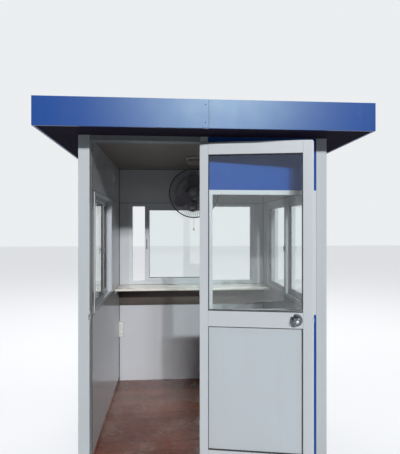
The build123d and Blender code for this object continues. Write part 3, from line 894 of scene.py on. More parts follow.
def spread(name: str, model: Piece, places: list[Matrix]) -> Piece:
    """Copy a model to many places, each copy with its own mesh, and join the copies.

    Args:
        name: The joined object's name.
        model: The piece that is copied, and deleted afterwards.
        places: A matrix for each copy.

    Returns:
        The joined copies.
    """
    copies = []
    for place in places:
        copy = model.copy()
        copy.data = model.data.copy()
        copy.data.transform(place)
        bpy.context.scene.collection.objects.link(copy)
        copies.append(copy)
    bpy.data.objects.remove(model)
    return merged(name, copies)


@dataclass(frozen=True)
class Face:
    """A flat face with its own directions: along it to the right, up it, and out of it."""

    origin: Vector
    right: Vector
    out: Vector

    @property
    def matrix(self) -> Matrix:
        """The matrix from the face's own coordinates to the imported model's.

        Returns:
            The matrix.
        """
        up = self.out.cross(self.right)
        turn = Matrix((self.right, up, self.out)).transposed().to_4x4()
        return Matrix.Translation(self.origin) @ turn

    def at(self, along: float, up: float, out: float = 0.0) -> Matrix:
        """The matrix that stands a piece on the face at a place given in its coordinates."""
        return self.matrix @ Matrix.Translation((along, up, out))

    def fix(self, piece: Piece) -> Piece:
        """Move a piece from the face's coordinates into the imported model's."""
        return stood(piece, self.matrix)


def facing(side: Side, x: float, y: float, z: float = 0.0) -> Face:
    """Find the upright plane through a point that faces the same way as a wall."""
    out = Vector((*side.value, 0))
    return Face(Vector((x, y, z)), UP.cross(out), out)


def wall_face(side: Side, half: float = WALL_HALF) -> Face:
    """Find a wall's outer plane, or the one parallel to it at another distance."""
    return facing(side, side.value[0] * half, side.value[1] * half)


def leaf_face(joints: list[dict]) -> Face:
    """Find the open leaf's plane through its pin, out towards the camera.

    Args:
        joints: The frame's joints.

    Returns:
        The face, with its origin on the ground under the pin.
    """
    hinge = next(joint for joint in joints if joint["name"] == "door_hinge")
    turn = math.radians(180 + hinge["range_deg"][0])
    pin = Vector((hinge["pos_m"][0], hinge["pos_m"][1], 0))
    right = Vector((math.cos(turn), -math.sin(turn), 0))
    return Face(pin, right, right.cross(UP))


@dataclass(frozen=True)
class Spans:
    """What a piece takes up, in the coordinates of a face."""

    along: Pair
    up: Pair
    out: Pair

    @classmethod
    def of(cls, node: str, face: Face) -> Spans:
        """Measure a CAD node.

        Args:
            node: The CAD node's name.
            face: The face whose coordinates count.

        Returns:
            The node's spans.
        """
        back = face.matrix.inverted()
        places = [back @ vertex.co for vertex in bpy.data.objects[node].data.vertices]
        limits = [
            (min(place[axis] for place in places), max(place[axis] for place in places))
            for axis in range(3)
        ]
        return cls(*limits)

    def grown(self, by: float) -> Spans:
        """Widen it along and up, or narrow it where the length is negative."""
        return Spans(grown(self.along, by), grown(self.up, by), self.out)


def block(name: str, x: Pair, y: Pair, z: Pair, bevel: float = 0.0) -> Piece:
    """Add a block between the given limits, with rounded edges.

    Args:
        name: The object's name.
        x: Its two limits along X.
        y: Its two limits along Y.
        z: Its two limits along Z.
        bevel: The edges' rounding, or 0 for none.

    Returns:
        The block.
    """
    deselect()
    middle = [(pair[0] + pair[1]) / 2 for pair in (x, y, z)]
    bpy.ops.mesh.primitive_cube_add(size=1, location=middle)
    piece = bpy.context.object
    piece.name = name
    piece.scale = [abs(pair[1] - pair[0]) for pair in (x, y, z)]
    settle(piece)
    return soften(piece, bevel) if bevel > 0 else piece


def ring(name: str, x: Pair, y: Pair, z: Pair, band: float) -> Piece:
    """Add a rectangular ring: a plane whose middle is inset and removed, then raised.

    Args:
        name: The object's name.
        x: Its outer limits along X.
        y: Its outer limits along Y.
        z: Its limits along Z.
        band: The width of its bars.

    Returns:
        The ring.
    """
    deselect()
    middle = ((x[0] + x[1]) / 2, (y[0] + y[1]) / 2, z[0])
    bpy.ops.mesh.primitive_plane_add(size=1, location=middle)
    piece = bpy.context.object
    piece.name = name
    piece.scale = (x[1] - x[0], y[1] - y[0], 1)
    edit(settle(piece))
    bpy.ops.mesh.inset(thickness=band)
    bpy.ops.mesh.delete(type="FACE")
    bpy.ops.mesh.select_all(action="SELECT")
    bpy.ops.mesh.extrude_region_move(TRANSFORM_OT_translate={"value": (0, 0, z[1] - z[0])})
    return close(piece)


def turned(name: str, sides: int, *stations: Pair) -> Piece:
    """Turn a closed shape about Z.

    Args:
        name: The object's name.
        sides: Its facets around.
        *stations: The radius and height at each station, from the foot up.

    Returns:
        The turned piece.
    """
    deselect()
    radius, height = stations[0]
    bpy.ops.mesh.primitive_circle_add(
        vertices=sides, radius=radius, fill_type="NGON", location=(0, 0, height)
    )
    piece = settle(bpy.context.object)
    piece.name = name
    edit(piece)
    for next_radius, next_height in stations[1:]:
        bpy.ops.mesh.extrude_region_move(
            TRANSFORM_OT_translate={"value": (0, 0, next_height - height)}
        )
        share = next_radius / radius
        bpy.ops.transform.resize(value=(share, share, 1))
        radius, height = next_radius, next_height
    return close(piece)


def screw(radius: float) -> Piece:
    """Model a pan-head screw with a cross recess, seated on the plane z = 0.

    Args:
        radius: The head's radius.

    Returns:
        The screw's head.
    """
    height = radius * 0.55
    head = turned(
        "screw", 12, (radius, -height * 0.2), (radius, height * 0.45), (radius * 0.8, height)
    )
    arm = radius * 0.55
    width = radius * 0.13
    for x, y in ((arm, width), (width, arm)):
        head = carve(head, block("slot", (-x, x), (-y, y), (height * 0.5, height * 1.5)))
    return head


def rivet(radius: float, sides: int) -> Piece:
    """Model a blind rivet's domed head, seated on the plane z = 0."""
    dome = ((radius * 0.95, 0.0004), (radius * 0.6, 0.0012), (radius * 0.25, 0.0014))
    return turned("rivet", sides, (radius, -0.0003), *dome)


def screwed(name: str, plate: Piece, side: Face, up: float, height: float, radius: float) -> Piece:
    """Screw a plate down near both ends.

    Args:
        name: The joined object's name.
        plate: The plate.
        side: The plate's outer face.
        up: The height of the plate's middle.
        height: The plate's height.
        radius: The screws' head radius.

    Returns:
        The plate with its screws.
    """
    seats = [side.at(0, up + way * height * SCREW_SPREAD, -SCREW_SINK) for way in (-1, 1)]
    return merged(name, [plate, spread("heads", screw(radius), seats)])


@dataclass
class Fitter:
    """Finishes pieces: material, smoothing, body and any node that they replace."""

    materials: dict[str, Material]
    smooth_below: float = 35.0

    def coat(self, piece: Piece, finish: str) -> None:
        """Give an object its finish."""
        piece.data.materials.clear()
        piece.data.materials.append(self.materials[finish])

    def fit(
        self,
        piece: Piece,
        finish: str,
        slot: str = "",
        body: Body = Body.BOOTH,
        replaces: tuple[str, ...] = (),
    ) -> None:
        """Finish one piece.

        Args:
            piece: The object.
            finish: Its finish.
            slot: The record's material slot; not used.
            body: The body that it rides on.
            replaces: CAD nodes that it stands for.
        """
        if piece.type == "MESH":
            only(piece)
            bpy.ops.object.shade_smooth_by_angle(angle=math.radians(self.smooth_below))
        self.coat(piece, finish)
        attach(piece, body.value)
        if replaces:
            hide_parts(*replaces)
        log.info("fitted %s to %s", piece.name, body.value)


# The studio


@dataclass
class Studio:
    """The camera, lamps, world and floor."""

    eye: Triple = (-0.2113, -3.2146, 1.5374)
    yaw: float = 0.0730
    focal_share: float = 411.3 / 454
    sensor: float = 36.0
    view_end: float = 200.0
    key_elevation: float = 20.5
    core_strength: float = 0.82
    core_azimuth: float = 9.4
    core_angle: float = 1.6
    strip_azimuth: float = 6.0
    strip_distance: float = 20.0
    strip_size: Pair = (6.8, 0.55)
    strip_power: float = 2600.0
    strip_aim: Triple = (0, -WALL_HALF, 1.3)
    soft: tuple[Colour, float] = ((0.86, 0.92, 1.0, 1), 0.05)
    pale: tuple[Colour, float] = ((0.90, 0.92, 0.94, 1), 0.93)
    floor_size: float = 60.0
    floor_grey: Colour = (0.25, 0.25, 0.25, 1)
    floor_roughness: float = 0.8
    floor_shine: float = 0.2
    floor_light: Colour = (0.95, 0.97, 1.0, 1)
    floor_glow: float = 0.66
    fill_aim: Triple = (0, 0, 1.0)
    fill_size: Pair = (3.0, 3.0)
    fills: tuple[tuple[str, Triple, float], ...] = (
        ("left_fill", (-4.2, -0.3, 6.2), 230.0),
        ("right_fill", (4.2, 0.3, 6.2), 230.0),
        ("back_fill", (0.0, 4.8, 6.2), 270.0),
    )

    def hang(self, data: bpy.types.ID, place: Vector, turn: Triple) -> Piece:
        """Put a camera or lamp into the scene.

        Args:
            data: The camera's or lamp's data.
            place: Where it hangs.
            turn: Its rotation.

        Returns:
            Its object.
        """
        item = bpy.data.objects.new(data.name, data)
        item.location = place
        item.rotation_euler = turn
        bpy.context.scene.collection.objects.link(item)
        return item

    def camera(self) -> None:
        """Place the camera at the photograph's eye point, level and turned slightly right."""
        data = bpy.data.cameras.new("eye")
        data.sensor_width = self.sensor
        data.lens = self.focal_share * self.sensor
        data.clip_end = self.view_end
        turn = (math.radians(90), 0.0, -self.yaw)
        bpy.context.scene.camera = self.hang(data, Vector(self.eye), turn)

    def lamp(self, name: str, place: Vector, aim: Vector, size: Pair, power: float) -> None:
        """Hang a rectangular lamp that faces a point.

        Args:
            name: The lamp's name.
            place: Where it hangs.
            aim: The point that it faces.
            size: Its width and height.
            power: Its power in watts.
        """
        data = bpy.data.lights.new(name, "AREA")
        data.shape = "RECTANGLE"
        data.size, data.size_y = size
        data.energy = power
        self.hang(data, place, (aim - place).to_track_quat("-Z", "Y").to_euler())

    def lamps(self) -> None:
        """Set a low soft key behind the camera, and high wide fills on the other sides."""
        rise = math.radians(self.key_elevation)
        core = bpy.data.lights.new("key", "SUN")
        core.energy = self.core_strength
        core.angle = math.radians(self.core_angle)
        self.hang(core, Vector(), (math.pi / 2 - rise, 0.0, math.radians(self.core_azimuth)))
        turn = math.radians(self.strip_azimuth)
        level = math.cos(rise)
        toward = Vector((math.sin(turn) * level, -math.cos(turn) * level, math.sin(rise)))
        aim = Vector(self.strip_aim)
        place = aim + toward * self.strip_distance
        self.lamp("key_strip", place, aim, self.strip_size, self.strip_power)
        for name, spot, power in self.fills:
            self.lamp(name, Vector(spot), Vector(self.fill_aim), self.fill_size, power)

    def world(self) -> None:
        """Light the world softly and show a pale backdrop to the camera, metal and glass."""
        world = bpy.data.worlds.new("studio")
        bpy.context.scene.world = world
        world.use_nodes = True
        wiring = Wiring(world.node_tree)
        ends = world.node_tree.nodes
        blend = wiring.add("MixShader")
        skies = (ends["Background"], wiring.add("Background"))
        for index, (sky, (colour, strength)) in enumerate(zip(skies, (self.soft, self.pale))):
            fill(sky, {"Color": colour, "Strength": strength})
            wiring.join(sky.outputs["Background"], blend.inputs[index + 1])
        wiring.join(wiring.rays(*VISIBLE), blend.inputs["Fac"])
        wiring.join(blend.outputs["Shader"], ends["World Output"].inputs["Surface"])

    def floor(self) -> None:
        """Lay a wide floor that the camera, metal and glass see nearly as pale as the backdrop."""
        deselect()
        bpy.ops.mesh.primitive_plane_add(size=self.floor_size, location=(0, 0, 0))
        plane = bpy.context.object
        plane.name = "studio_floor"
        bench = Workbench("studio_floor")
        bench.set(Base_Color=self.floor_grey, Roughness=self.floor_roughness)
        bench.set(Specular_IOR_Level=self.floor_shine, Emission_Color=self.floor_light)
        glow = bench.times(bench.rays(*VISIBLE), self.floor_glow)
        bench.join(glow, bench.shader.inputs["Emission Strength"])
        plane.data.materials.append(bench.material)

    def build(self) -> None:
        """Build the whole studio."""
        bpy.context.scene.view_settings.view_transform = "Standard"
        self.camera()
        self.lamps()
        self.world()
        self.floor()
        log.info("studio is up")


# Pieces


@dataclass
class Trim:
    """A group of pieces that one fitter finishes."""

    fitter: Fitter

    def build(self) -> None:
        """Build every piece of the group."""
        raise NotImplementedError


@dataclass
class LeafTrim(Trim):
    """The door leaf's gaskets, frame joints and latch plate."""

    face: Face
    gasket: float = 0.0032
    gasket_seat: float = 0.0006
    rail: float = 0.061
    line: float = 0.0008
    line_rise: float = 0.00015
    plate_height: float = 0.085
    plate_width: float = 0.024
    plate_thickness: float = 0.0012
    bolt_room: float = 0.0008
    screw_radius: float = 0.0032

    def gaskets(self, leaf: Spans, sheets: list[Spans]) -> None:
        """Press a rubber ring into each opening, on both sides of its sheet.

        Args:
            leaf: The leaf's frame.
            sheets: The glass and the panel.
        """
        inside = grown(leaf.out, -self.gasket_seat)
        rings = [
            ring("gasket", sheet.along, sheet.up, gap, self.gasket)
            for sheet in sheets
            for gap in ((sheet.out[1], inside[1]), (inside[0], sheet.out[0]))
        ]
        self.fitter.fit(self.face.fix(merged("leaf_gaskets", rings)), "gasket_black", "", Body.LEAF)

    def joints(self, leaf: Spans, sheets: list[Spans]) -> None:
        """Draw the fine open joint where each rail meets the stiles, on both faces.

        Args:
            leaf: The leaf's frame.
            sheets: The glass and the panel.
        """
        glass, panel = sheets
        rails = (
            (leaf.up[0], panel.up[0]),
            (panel.up[1], glass.up[0]),
            (glass.up[1], glass.up[1] + self.rail),
        )
        lines = [
            block("line", around(edge, self.line), rail, skin)
            for rail in rails
            for edge in glass.along
            for skin in skins(leaf.out, self.line, self.line_rise)
        ]
        piece = self.face.fix(merged("leaf_joint_lines", lines))
        self.fitter.fit(piece, "joint_dark", "", Body.LEAF)

    def latch_plate(self, leaf: Spans, glass: Spans) -> None:
        """Screw a steel plate round the latch bolt on the leaf's edge.

        Args:
            leaf: The leaf's frame.
            glass: The glass, which is as far from both edges.
        """
        bolt = Spans.of("latch_bolt", self.face)
        edge = glass.along[1] + glass.along[0] - leaf.along[0]
        up = sum(bolt.up) / 2
        out = sum(bolt.out) / 2
        thick = self.plate_thickness
        plate = block(
            "plate",
            (edge, edge + thick),
            around(up, self.plate_height),
            around(out, self.plate_width),
            thick / 3,
        )
        room = self.bolt_room
        through = (edge - thick, edge + 2 * thick)
        hole = block("hole", through, grown(bolt.up, room), grown(bolt.out, room))
        plate = self.face.fix(carve(plate, hole))
        middle = self.face.matrix @ Vector((edge + thick, 0, out))
        side = Face(middle, -self.face.out, self.face.right)
        piece = screwed("latch_plate", plate, side, up, self.plate_height, self.screw_radius)
        self.fitter.fit(piece, "hinge_steel", "hinge_steel", Body.LEAF)

    def build(self) -> None:
        """Build every trim piece of the leaf."""
        leaf, *sheets = (
            Spans.of(node, self.face) for node in ("door_frame", "door_glass", "door_panel")
        )
        self.gaskets(leaf, sheets)
        self.joints(leaf, sheets)
        self.latch_plate(leaf, sheets[0])


@dataclass
class StrikePlate(Trim):
    """The steel plate on the post, open towards the front, that takes the latch bolt."""

    leaf: Face
    post: float = 0.066
    setback: float = 0.0008
    height: float = 0.09
    width: float = 0.034
    thickness: float = 0.0012
    mouth: float = 0.03
    clearance: float = 0.0062
    screw_radius: float = 0.0034

    def build(self) -> None:
        """Cut the plate, seat it on the post and screw it down."""
        post = -WALL_HALF + self.post
        bolt = Spans.of("latch_bolt", self.leaf)
        up = sum(bolt.up) / 2
        front = -WALL_HALF + self.setback
        behind = self.leaf.origin.y + bolt.out[1] + self.clearance
        thick = self.thickness
        depth = (front, front + self.width)
        plate = block("plate", (post, post + thick), depth, around(up, self.height), thick / 3)
        through = (post - thick, post + 2 * thick)
        mouth = block("mouth", through, (front - self.width, behind), around(up, self.mouth))
        side = facing(Side.RIGHT, post + thick, sum(depth) / 2)
        plate = carve(plate, mouth)
        piece = screwed("strike_plate", plate, side, up, self.height, self.screw_radius)
        self.fitter.fit(piece, "hinge_steel", "hinge_steel")


@dataclass
class HingeTrim(Trim):
    """The screws in the hinge plates and the caps on the pins."""

    face: Face
    plate: float = 0.0025
    screw_radius: float = 0.0036
    screw_steps: Triple = (0.015, 0.045, 0.075)
    leaf_screw_along: float = 0.0175
    jamb_screw_along: float = 0.0155
    hinge_gap: float = 0.2
    cap_radius: float = 0.0054
    cap_height: float = 0.0028
    cap_shares: tuple[Pair, ...] = ((0.9, 0), (1, 0.3), (0.75, 0.8), (0.3, 1))

    def feet(self) -> list[float]:
        """Find the height of each hinge's foot from the jamb's plates.

        Returns:
            The heights.
        """
        levels = sorted({round(v.co.z, 4) for v in bpy.data.objects["jamb_hinges"].data.vertices})
        feet = [levels[0]]
        for level in levels:
            if level - feet[-1] > self.hinge_gap:
                feet.append(level)
        return feet

    def build(self) -> None:
        """Seat the screws on both plates and a cap on each end of each pin."""
        feet = self.feet()
        face = self.face
        leaf = Spans.of("leaf_hinges", face)
        behind = Spans.of("door_frame", face).out[0] - self.plate
        back = Face(face.matrix @ Vector((0, 0, behind)), -face.right, -face.out)
        front = facing(Side.FRONT, face.origin.x, -WALL_HALF - self.plate)
        for name, plate, along, body in (
            ("leaf_hinge_screws", back, -self.leaf_screw_along, Body.LEAF),
            ("jamb_hinge_screws", front, self.jamb_screw_along, Body.BOOTH),
        ):
            seats = [plate.at(along, foot + step) for foot in feet for step in self.screw_steps]
            heads = spread(name, screw(self.screw_radius), seats)
            self.fitter.fit(heads, "zinc", "hinge_steel", body)
        cap = turned(
            "cap", 20, *((self.cap_radius * wide, self.cap_height * up) for wide, up in self.cap_shares)
        )
        length = leaf.up[1] - feet[-1]
        flip = Matrix.Rotation(math.pi, 4, "X")
        seats = []
        for foot in feet:
            low = face.origin + UP * foot
            seats.append(Matrix.Translation(low + UP * length))
            seats.append(Matrix.Translation(low) @ flip)
        self.fitter.fit(spread("hinge_caps", cap, seats), "hinge_steel", "hinge_steel", Body.LEAF)


@dataclass
class KnobSet(Trim):
    """The turned knobs, with a thumb turn inside and a key plug outside."""

    face: Face
    rose_gap: float = 0.001
    turn_length: float = 0.013
    turn_width: float = 0.004
    turn_depth: float = 0.003
    turn_bevel: float = 0.0008
    plug_radius: float = 0.0078
    plug_seat: float = 0.94
    plug_crown: float = 0.8
    plug_out: Pair = (-0.0012, -0.0006)
    slot_width: float = 0.0016
    slot_height: float = 0.00858
    slot_out: Pair = (-0.0012, -0.0004)
    profile: tuple[Pair, ...] = (
        (0.0115, 0.00), (0.0113, 0.07), (0.0122, 0.15), (0.0150, 0.25), (0.0190, 0.35),
        (0.0222, 0.45), (0.0236, 0.54), (0.0240, 0.63), (0.0238, 0.71), (0.0229, 0.79),
        (0.0212, 0.86), (0.0190, 0.91), (0.0178, 0.925), (0.0170, 0.915), (0.0162, 0.925),
        (0.0150, 0.96), (0.0125, 0.985), (0.0098, 0.99), (0.0092, 0.95),
    )

    def build(self) -> None:
        """Build both knobs on the spindle's axis."""
        knobs, leaf, roses = (
            Spans.of(node, self.face) for node in ("door_knobs", "door_frame", "knob_roses")
        )
        middle = sum(leaf.out) / 2
        gap = roses.out[1] - middle + self.rose_gap
        reach = knobs.out[1] - middle
        place = Vector((sum(knobs.along) / 2, sum(knobs.up) / 2, middle))
        axis = Face(self.face.matrix @ place, self.face.right, self.face.out)
        outer = axis.matrix @ Matrix.Rotation(math.pi, 4, "Y")
        both = [axis.matrix, outer]
        stations = [(radius, gap + share * (reach - gap)) for radius, share in self.profile]
        pair = spread("turned_knobs", turned("knob", 48, *stations), both)
        self.fitter.fit(pair, "knob_chrome", "chrome", Body.KNOBS, ("door_knobs",))
        radius = self.plug_radius
        seat = gap + self.plug_seat * (reach - gap)
        rim, crown = shifted(self.plug_out, reach)
        plug = turned("plug", 24, (radius, seat), (radius, rim), (radius * self.plug_crown, crown))
        plugs = spread("plugs", plug, both)
        length = around(0, self.turn_length)
        depth = (reach - self.turn_depth, reach)
        bar = block("bar", length, around(0, self.turn_width), depth, self.turn_bevel)
        piece = merged("knob_plugs", [plugs, axis.fix(bar)])
        self.fitter.fit(piece, "hinge_steel", "chrome", Body.KNOBS)
        # painted shade: the key slot is a thin black block standing for the shade inside the keyway
        width = around(0, self.slot_width)
        depth = shifted(self.slot_out, reach)
        slot = block("key_slot", width, around(0, self.slot_height), depth)
        self.fitter.fit(stood(slot, outer), "gasket_black", "", Body.KNOBS)


@dataclass
class WindowTrim(Trim):
    """The windows' panes, rebuilt sashes, gaskets, joint lines, pulls, locks and drain covers."""

    web: float = 0.018
    side_gap: float = 0.0015
    stile: float = 0.04
    sash_depth: float = 0.02
    back_opening: float = 0.127
    pane: float = 0.005
    rebate: float = 0.004
    bead: float = 0.008
    bead_depth: float = 0.022
    gasket: float = 0.0022
    gasket_seat: float = 0.0006
    line: float = 0.0007
    line_rise: float = 0.00012
    bead_bevel: float = 0.0012
    sash_bevel: float = 0.0015
    pull_height: float = 0.1
    pull_width: float = 0.013
    pull_place: float = 0.018
    pull_lip: float = 0.0022
    bezel_out: Pair = (-0.0012, 0.001)
    well_out: Pair = (-0.0003, 0.001)
    lock_height: float = 0.07
    lock_width: float = 0.016
    lock_out: Pair = (-0.003, 0.0)
    lock_bevel: float = 0.001
    hub: tuple[Pair, ...] = ((0.0075, 0), (0.0075, 0.007), (0.006, 0.009))
    lever_width: float = 0.007
    lever_up: Pair = (-0.032, 0.004)
    lever_out: Pair = (-0.0115, -0.0075)
    lever_bevel: float = 0.0012
    drain_width: float = 0.032
    drain_up: Pair = (0.006, 0.014)
    drain_out: Pair = (-0.0005, 0.002)
    drain_bevel: float = 0.0009
    drain_shares: Pair = (0.2, 0.8)

    def frame(self, side: Side) -> Spans:
        """Measure a wall's window frame in the wall's own coordinates."""
        return Spans.of(side.node("window_frame"), wall_face(side))

    def sashes(self, side: Side) -> list[Spans]:
        """Work out each sash's outline and depth on its wall.

        Args:
            side: The wall.

        Returns:
            The sash in the outer track, and then the one in the inner track.
        """
        sash = Spans.of(side.node("window_sashes"), wall_face(side))
        low, high = grown(self.frame(side).along, -self.web - self.side_gap)
        width = (high - low + self.stile) / 2
        second = high - width
        first = low
        if side is Side.BACK:
            second -= self.back_opening
            first = second
        outer = (sash.out[1] - self.sash_depth, sash.out[1])
        inner = (sash.out[0], sash.out[0] + self.sash_depth)
        return [
            Spans((first, first + width), sash.up, outer),
            Spans((second, second + width), sash.up, inner),
        ]

    def front_light(self) -> Spans:
        """Measure the front frame's inside, which holds one fixed pane in the photo.

        Returns:
            The beads' outline and depth.
        """
        sash = Spans.of("front_window_sashes", wall_face(Side.FRONT))
        inside = self.frame(Side.FRONT).grown(-self.web)
        return Spans(inside.along, inside.up, around(sum(sash.out) / 2, self.bead_depth))

    def rings(self) -> None:
        """Bead the front pane in, and set the back window's two sashes behind each other."""
        light = self.front_light()
        for name, side, outlines, band, bevel in (
            ("front_light_beads", Side.FRONT, [light], self.bead, self.bead_bevel),
            ("back_sashes", Side.BACK, self.sashes(Side.BACK), self.stile, self.sash_bevel),
        ):
            bars = [
                soften(ring("bars", line.along, line.up, line.out, band), bevel) for line in outlines
            ]
            piece = wall_face(side).fix(merged(name, bars))
            replaced = (side.node("window_sashes"),)
            self.fitter.fit(piece, "frame_white", "window_white", replaces=replaced)

    def glaze(self) -> None:
        """Set a pane in every opening, with a rubber ring against both of its sides."""
        panes = []
        rubbers = []
        for side in Side:
            if side is Side.FRONT:
                openings = [self.front_light().grown(-self.bead)]
            else:
                openings = [sash.grown(-self.stile) for sash in self.sashes(side)]
            face = wall_face(side)
            for opening in openings:
                pane = opening.grown(self.rebate)
                sheet = around(sum(opening.out) / 2, self.pane)
                panes.append(face.fix(block("pane", pane.along, pane.up, sheet)))
                inside = grown(opening.out, -self.gasket_seat)
                for gap in ((inside[0], sheet[0]), (sheet[1], inside[1])):
                    rubber = ring("gasket", opening.along, opening.up, gap, self.gasket)
                    rubbers.append(face.fix(rubber))
        glass = merged("window_glass", panes)
        self.fitter.fit(glass, "float_glass", "clear_glass", replaces=("window_panes",))
        self.fitter.fit(merged("window_gaskets", rubbers), "gasket_black")

    def corner_lines(self) -> None:
        """Draw the butt joints of each sash, in and out."""
        lines = [
            wall_face(side).fix(
                block("line", around(edge, self.line), (foot, foot + self.stile), skin)
            )
            for side in SLIDING
            for sash in self.sashes(side)
            for edge in grown(sash.along, -self.stile)
            for foot in (sash.up[0], sash.up[1] - self.stile)
            for skin in skins(sash.out, self.line, self.line_rise)
        ]
        self.fitter.fit(merged("sash_joint_lines", lines), "joint_dark")

    def pulls(self) -> None:
        """Set a recessed finger pull in each sash's outer stile, on the room side: a bezel ring round a
        flat dark well that paints the recess's shade.
        """
        bezels = []
        wells = []
        for side in SLIDING:
            face = wall_face(side)
            outer, inner = self.sashes(side)
            for along, sash in (
                (outer.along[0] + self.pull_place, outer),
                (inner.along[1] - self.pull_place, inner),
            ):
                out = sash.out[0]
                x = around(along, self.pull_width)
                y = around(sum(sash.up) / 2, self.pull_height)
                bezel = ring("bezel", x, y, shifted(self.bezel_out, out), self.pull_lip)
                bezels.append(face.fix(bezel))
                wells.append(face.fix(block("well", x, y, shifted(self.well_out, out))))
        self.fitter.fit(merged("pull_bezels", bezels), "frame_white", "window_white")
        # painted shade: the wells' dark stands for the shade inside the recessed pulls
        self.fitter.fit(merged("pull_wells", wells), "joint_dark")

    def locks(self) -> None:
        """Fit a crescent lock on each inner sash's meeting stile, turned shut."""
        pieces = []
        for side in SLIDING:
            sash = self.sashes(side)[1]
            x = sash.along[0] + self.stile / 2
            y = sum(sash.up) / 2
            out = sash.out[0]
            plate = block(
                "plate",
                around(x, self.lock_width),
                around(y, self.lock_height),
                shifted(self.lock_out, out),
                self.lock_bevel,
            )
            seat = Matrix.Translation((x, y, out + self.lock_out[0]))
            hub = stood(turned("hub", 24, *self.hub), seat @ Matrix.Rotation(math.pi, 4, "X"))
            lever = block(
                "lever",
                around(x, self.lever_width),
                shifted(self.lever_up, y),
                shifted(self.lever_out, out),
                self.lever_bevel,
            )
            pieces.append(wall_face(side).fix(merged("lock", [plate, hub, lever])))
        self.fitter.fit(merged("sash_locks", pieces), "fan_grey", "window_white")

    def drains(self) -> None:
        """Fit covers over the drain slots in each frame's outer sill."""
        covers = []
        for side in Side:
            frame = self.frame(side)
            up = shifted(self.drain_up, frame.up[0])
            out = shifted(self.drain_out, frame.out[1])
            for share in self.drain_shares:
                x = frame.along[0] + (frame.along[1] - frame.along[0]) * share
                cover = block("cover", around(x, self.drain_width), up, out, self.drain_bevel)
                covers.append(wall_face(side).fix(cover))
        self.fitter.fit(merged("drain_covers", covers), "frame_white", "window_white")

    def build(self) -> None:
        """Build every trim piece of the windows."""
        self.rings()
        self.glaze()
        self.corner_lines()
        self.pulls()
        self.locks()
        self.drains()


@dataclass
class RoomTrim(Trim):
    """Inside the room: dark joints between the panels and the vinyl's turned-up edge."""

    floor: float = 0.1
    ceiling: float = 2.08
    window_head: float = 1.761
    window_sill: float = 0.998
    line: float = 0.004
    out: Pair = (-0.0008, 0.0005)
    upturn: float = 0.042
    vinyl: float = 0.002

    def joints(self) -> None:
        """Run dark joints up the corners, round the ceiling and along the windows' levels."""
        edge = ROOM_HALF - self.line
        height = (self.floor, self.ceiling)
        pieces = [
            block("corner", (x * ROOM_HALF, x * edge), (y * ROOM_HALF, y * edge), height)
            for x in (-1, 1)
            for y in (-1, 1)
        ]
        top = (self.ceiling - self.line, self.ceiling)
        head = (self.window_head, self.window_head + self.line)
        sill = (self.window_sill - self.line, self.window_sill)
        for side in Side:
            for up in (top,) if side is Side.FRONT else (top, head, sill):
                run = block("run", (-ROOM_HALF, ROOM_HALF), up, self.out)
                pieces.append(wall_face(side, ROOM_HALF).fix(run))
        self.fitter.fit(merged("room_joints", pieces), "joint_dark")

    def skirting(self) -> None:
        """Turn the vinyl sheet up along the side walls, with its cut edge showing."""
        up = (self.floor, self.floor + self.upturn)
        strips = []
        for side in (Side.LEFT, Side.RIGHT):
            strip = block("strip", (-ROOM_HALF, ROOM_HALF), up, (-self.vinyl, 0.0), self.vinyl / 3)
            strips.append(wall_face(side, ROOM_HALF).fix(strip))
        self.fitter.fit(merged("vinyl_upturns", strips), "plank_vinyl", "floor_vinyl")

    def build(self) -> None:
        """Build every trim piece of the room."""
        self.joints()
        self.skirting()


@dataclass
class FasciaTrim(Trim):
    """The fascia's lap joint at the front, and its rivets."""

    lap: float = 0.034
    lap_thickness: float = 0.0006
    joint_line: float = 0.0024
    joint_short: float = 0.004
    foot_sag: float = 0.006
    foot_lap: float = 0.002
    rivet_radius: float = 0.0035
    rivet_sides: int = 14
    rivet_inset: float = 0.016
    rivet_level: float = 0.03

    def lap_joint(self) -> None:
        """Lap the left length over the right one, with a dark edge and a sagging foot."""
        low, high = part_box("fascia_front_left")
        y = low.y
        thin = self.lap_thickness
        sag = self.foot_sag
        strip = block("fascia_lap", (-self.lap, 0.0), (y - thin, y), (low.z, high.z))
        self.fitter.fit(strip, "fascia_blue", "blue_paint")
        up = (low.z, high.z - self.joint_short)
        edge = block("lap_edge", (0.0, self.joint_line), (y - thin / 2, y), up)
        self.fitter.fit(edge, "joint_dark", "blue_paint")
        over = self.foot_lap
        up = (low.z - sag, low.z + over)
        foot = block("lap_foot", (-self.lap, over), (y - sag, y), up, thin)
        self.fitter.fit(foot, "seam_blue", "blue_paint")

    def rivets(self) -> None:
        """Rivet the lap joint and the four corners."""
        low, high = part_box("fascia_front_left")
        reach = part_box("fascia_sides")[1].x
        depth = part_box("fascia_sides")[1].y
        front = facing(Side.FRONT, 0, low.y)
        rows = (
            (front, reach),
            (wall_face(Side.BACK, depth), reach),
            (wall_face(Side.LEFT, reach), depth),
            (wall_face(Side.RIGHT, reach), depth),
        )
        seats = []
        for level in (low.z + self.rivet_level, high.z - self.rivet_level):
            seats.append(front.at(-self.lap / 2, level, self.lap_thickness))
            for face, half in rows:
                edge = half - self.rivet_inset
                seats += [face.at(-edge, level), face.at(edge, level)]
        heads = spread("fascia_rivets", rivet(self.rivet_radius, self.rivet_sides), seats)
        self.fitter.fit(heads, "fascia_blue", "blue_paint")

    def build(self) -> None:
        """Build every trim piece of the fascia."""
        self.lap_joint()
        self.rivets()


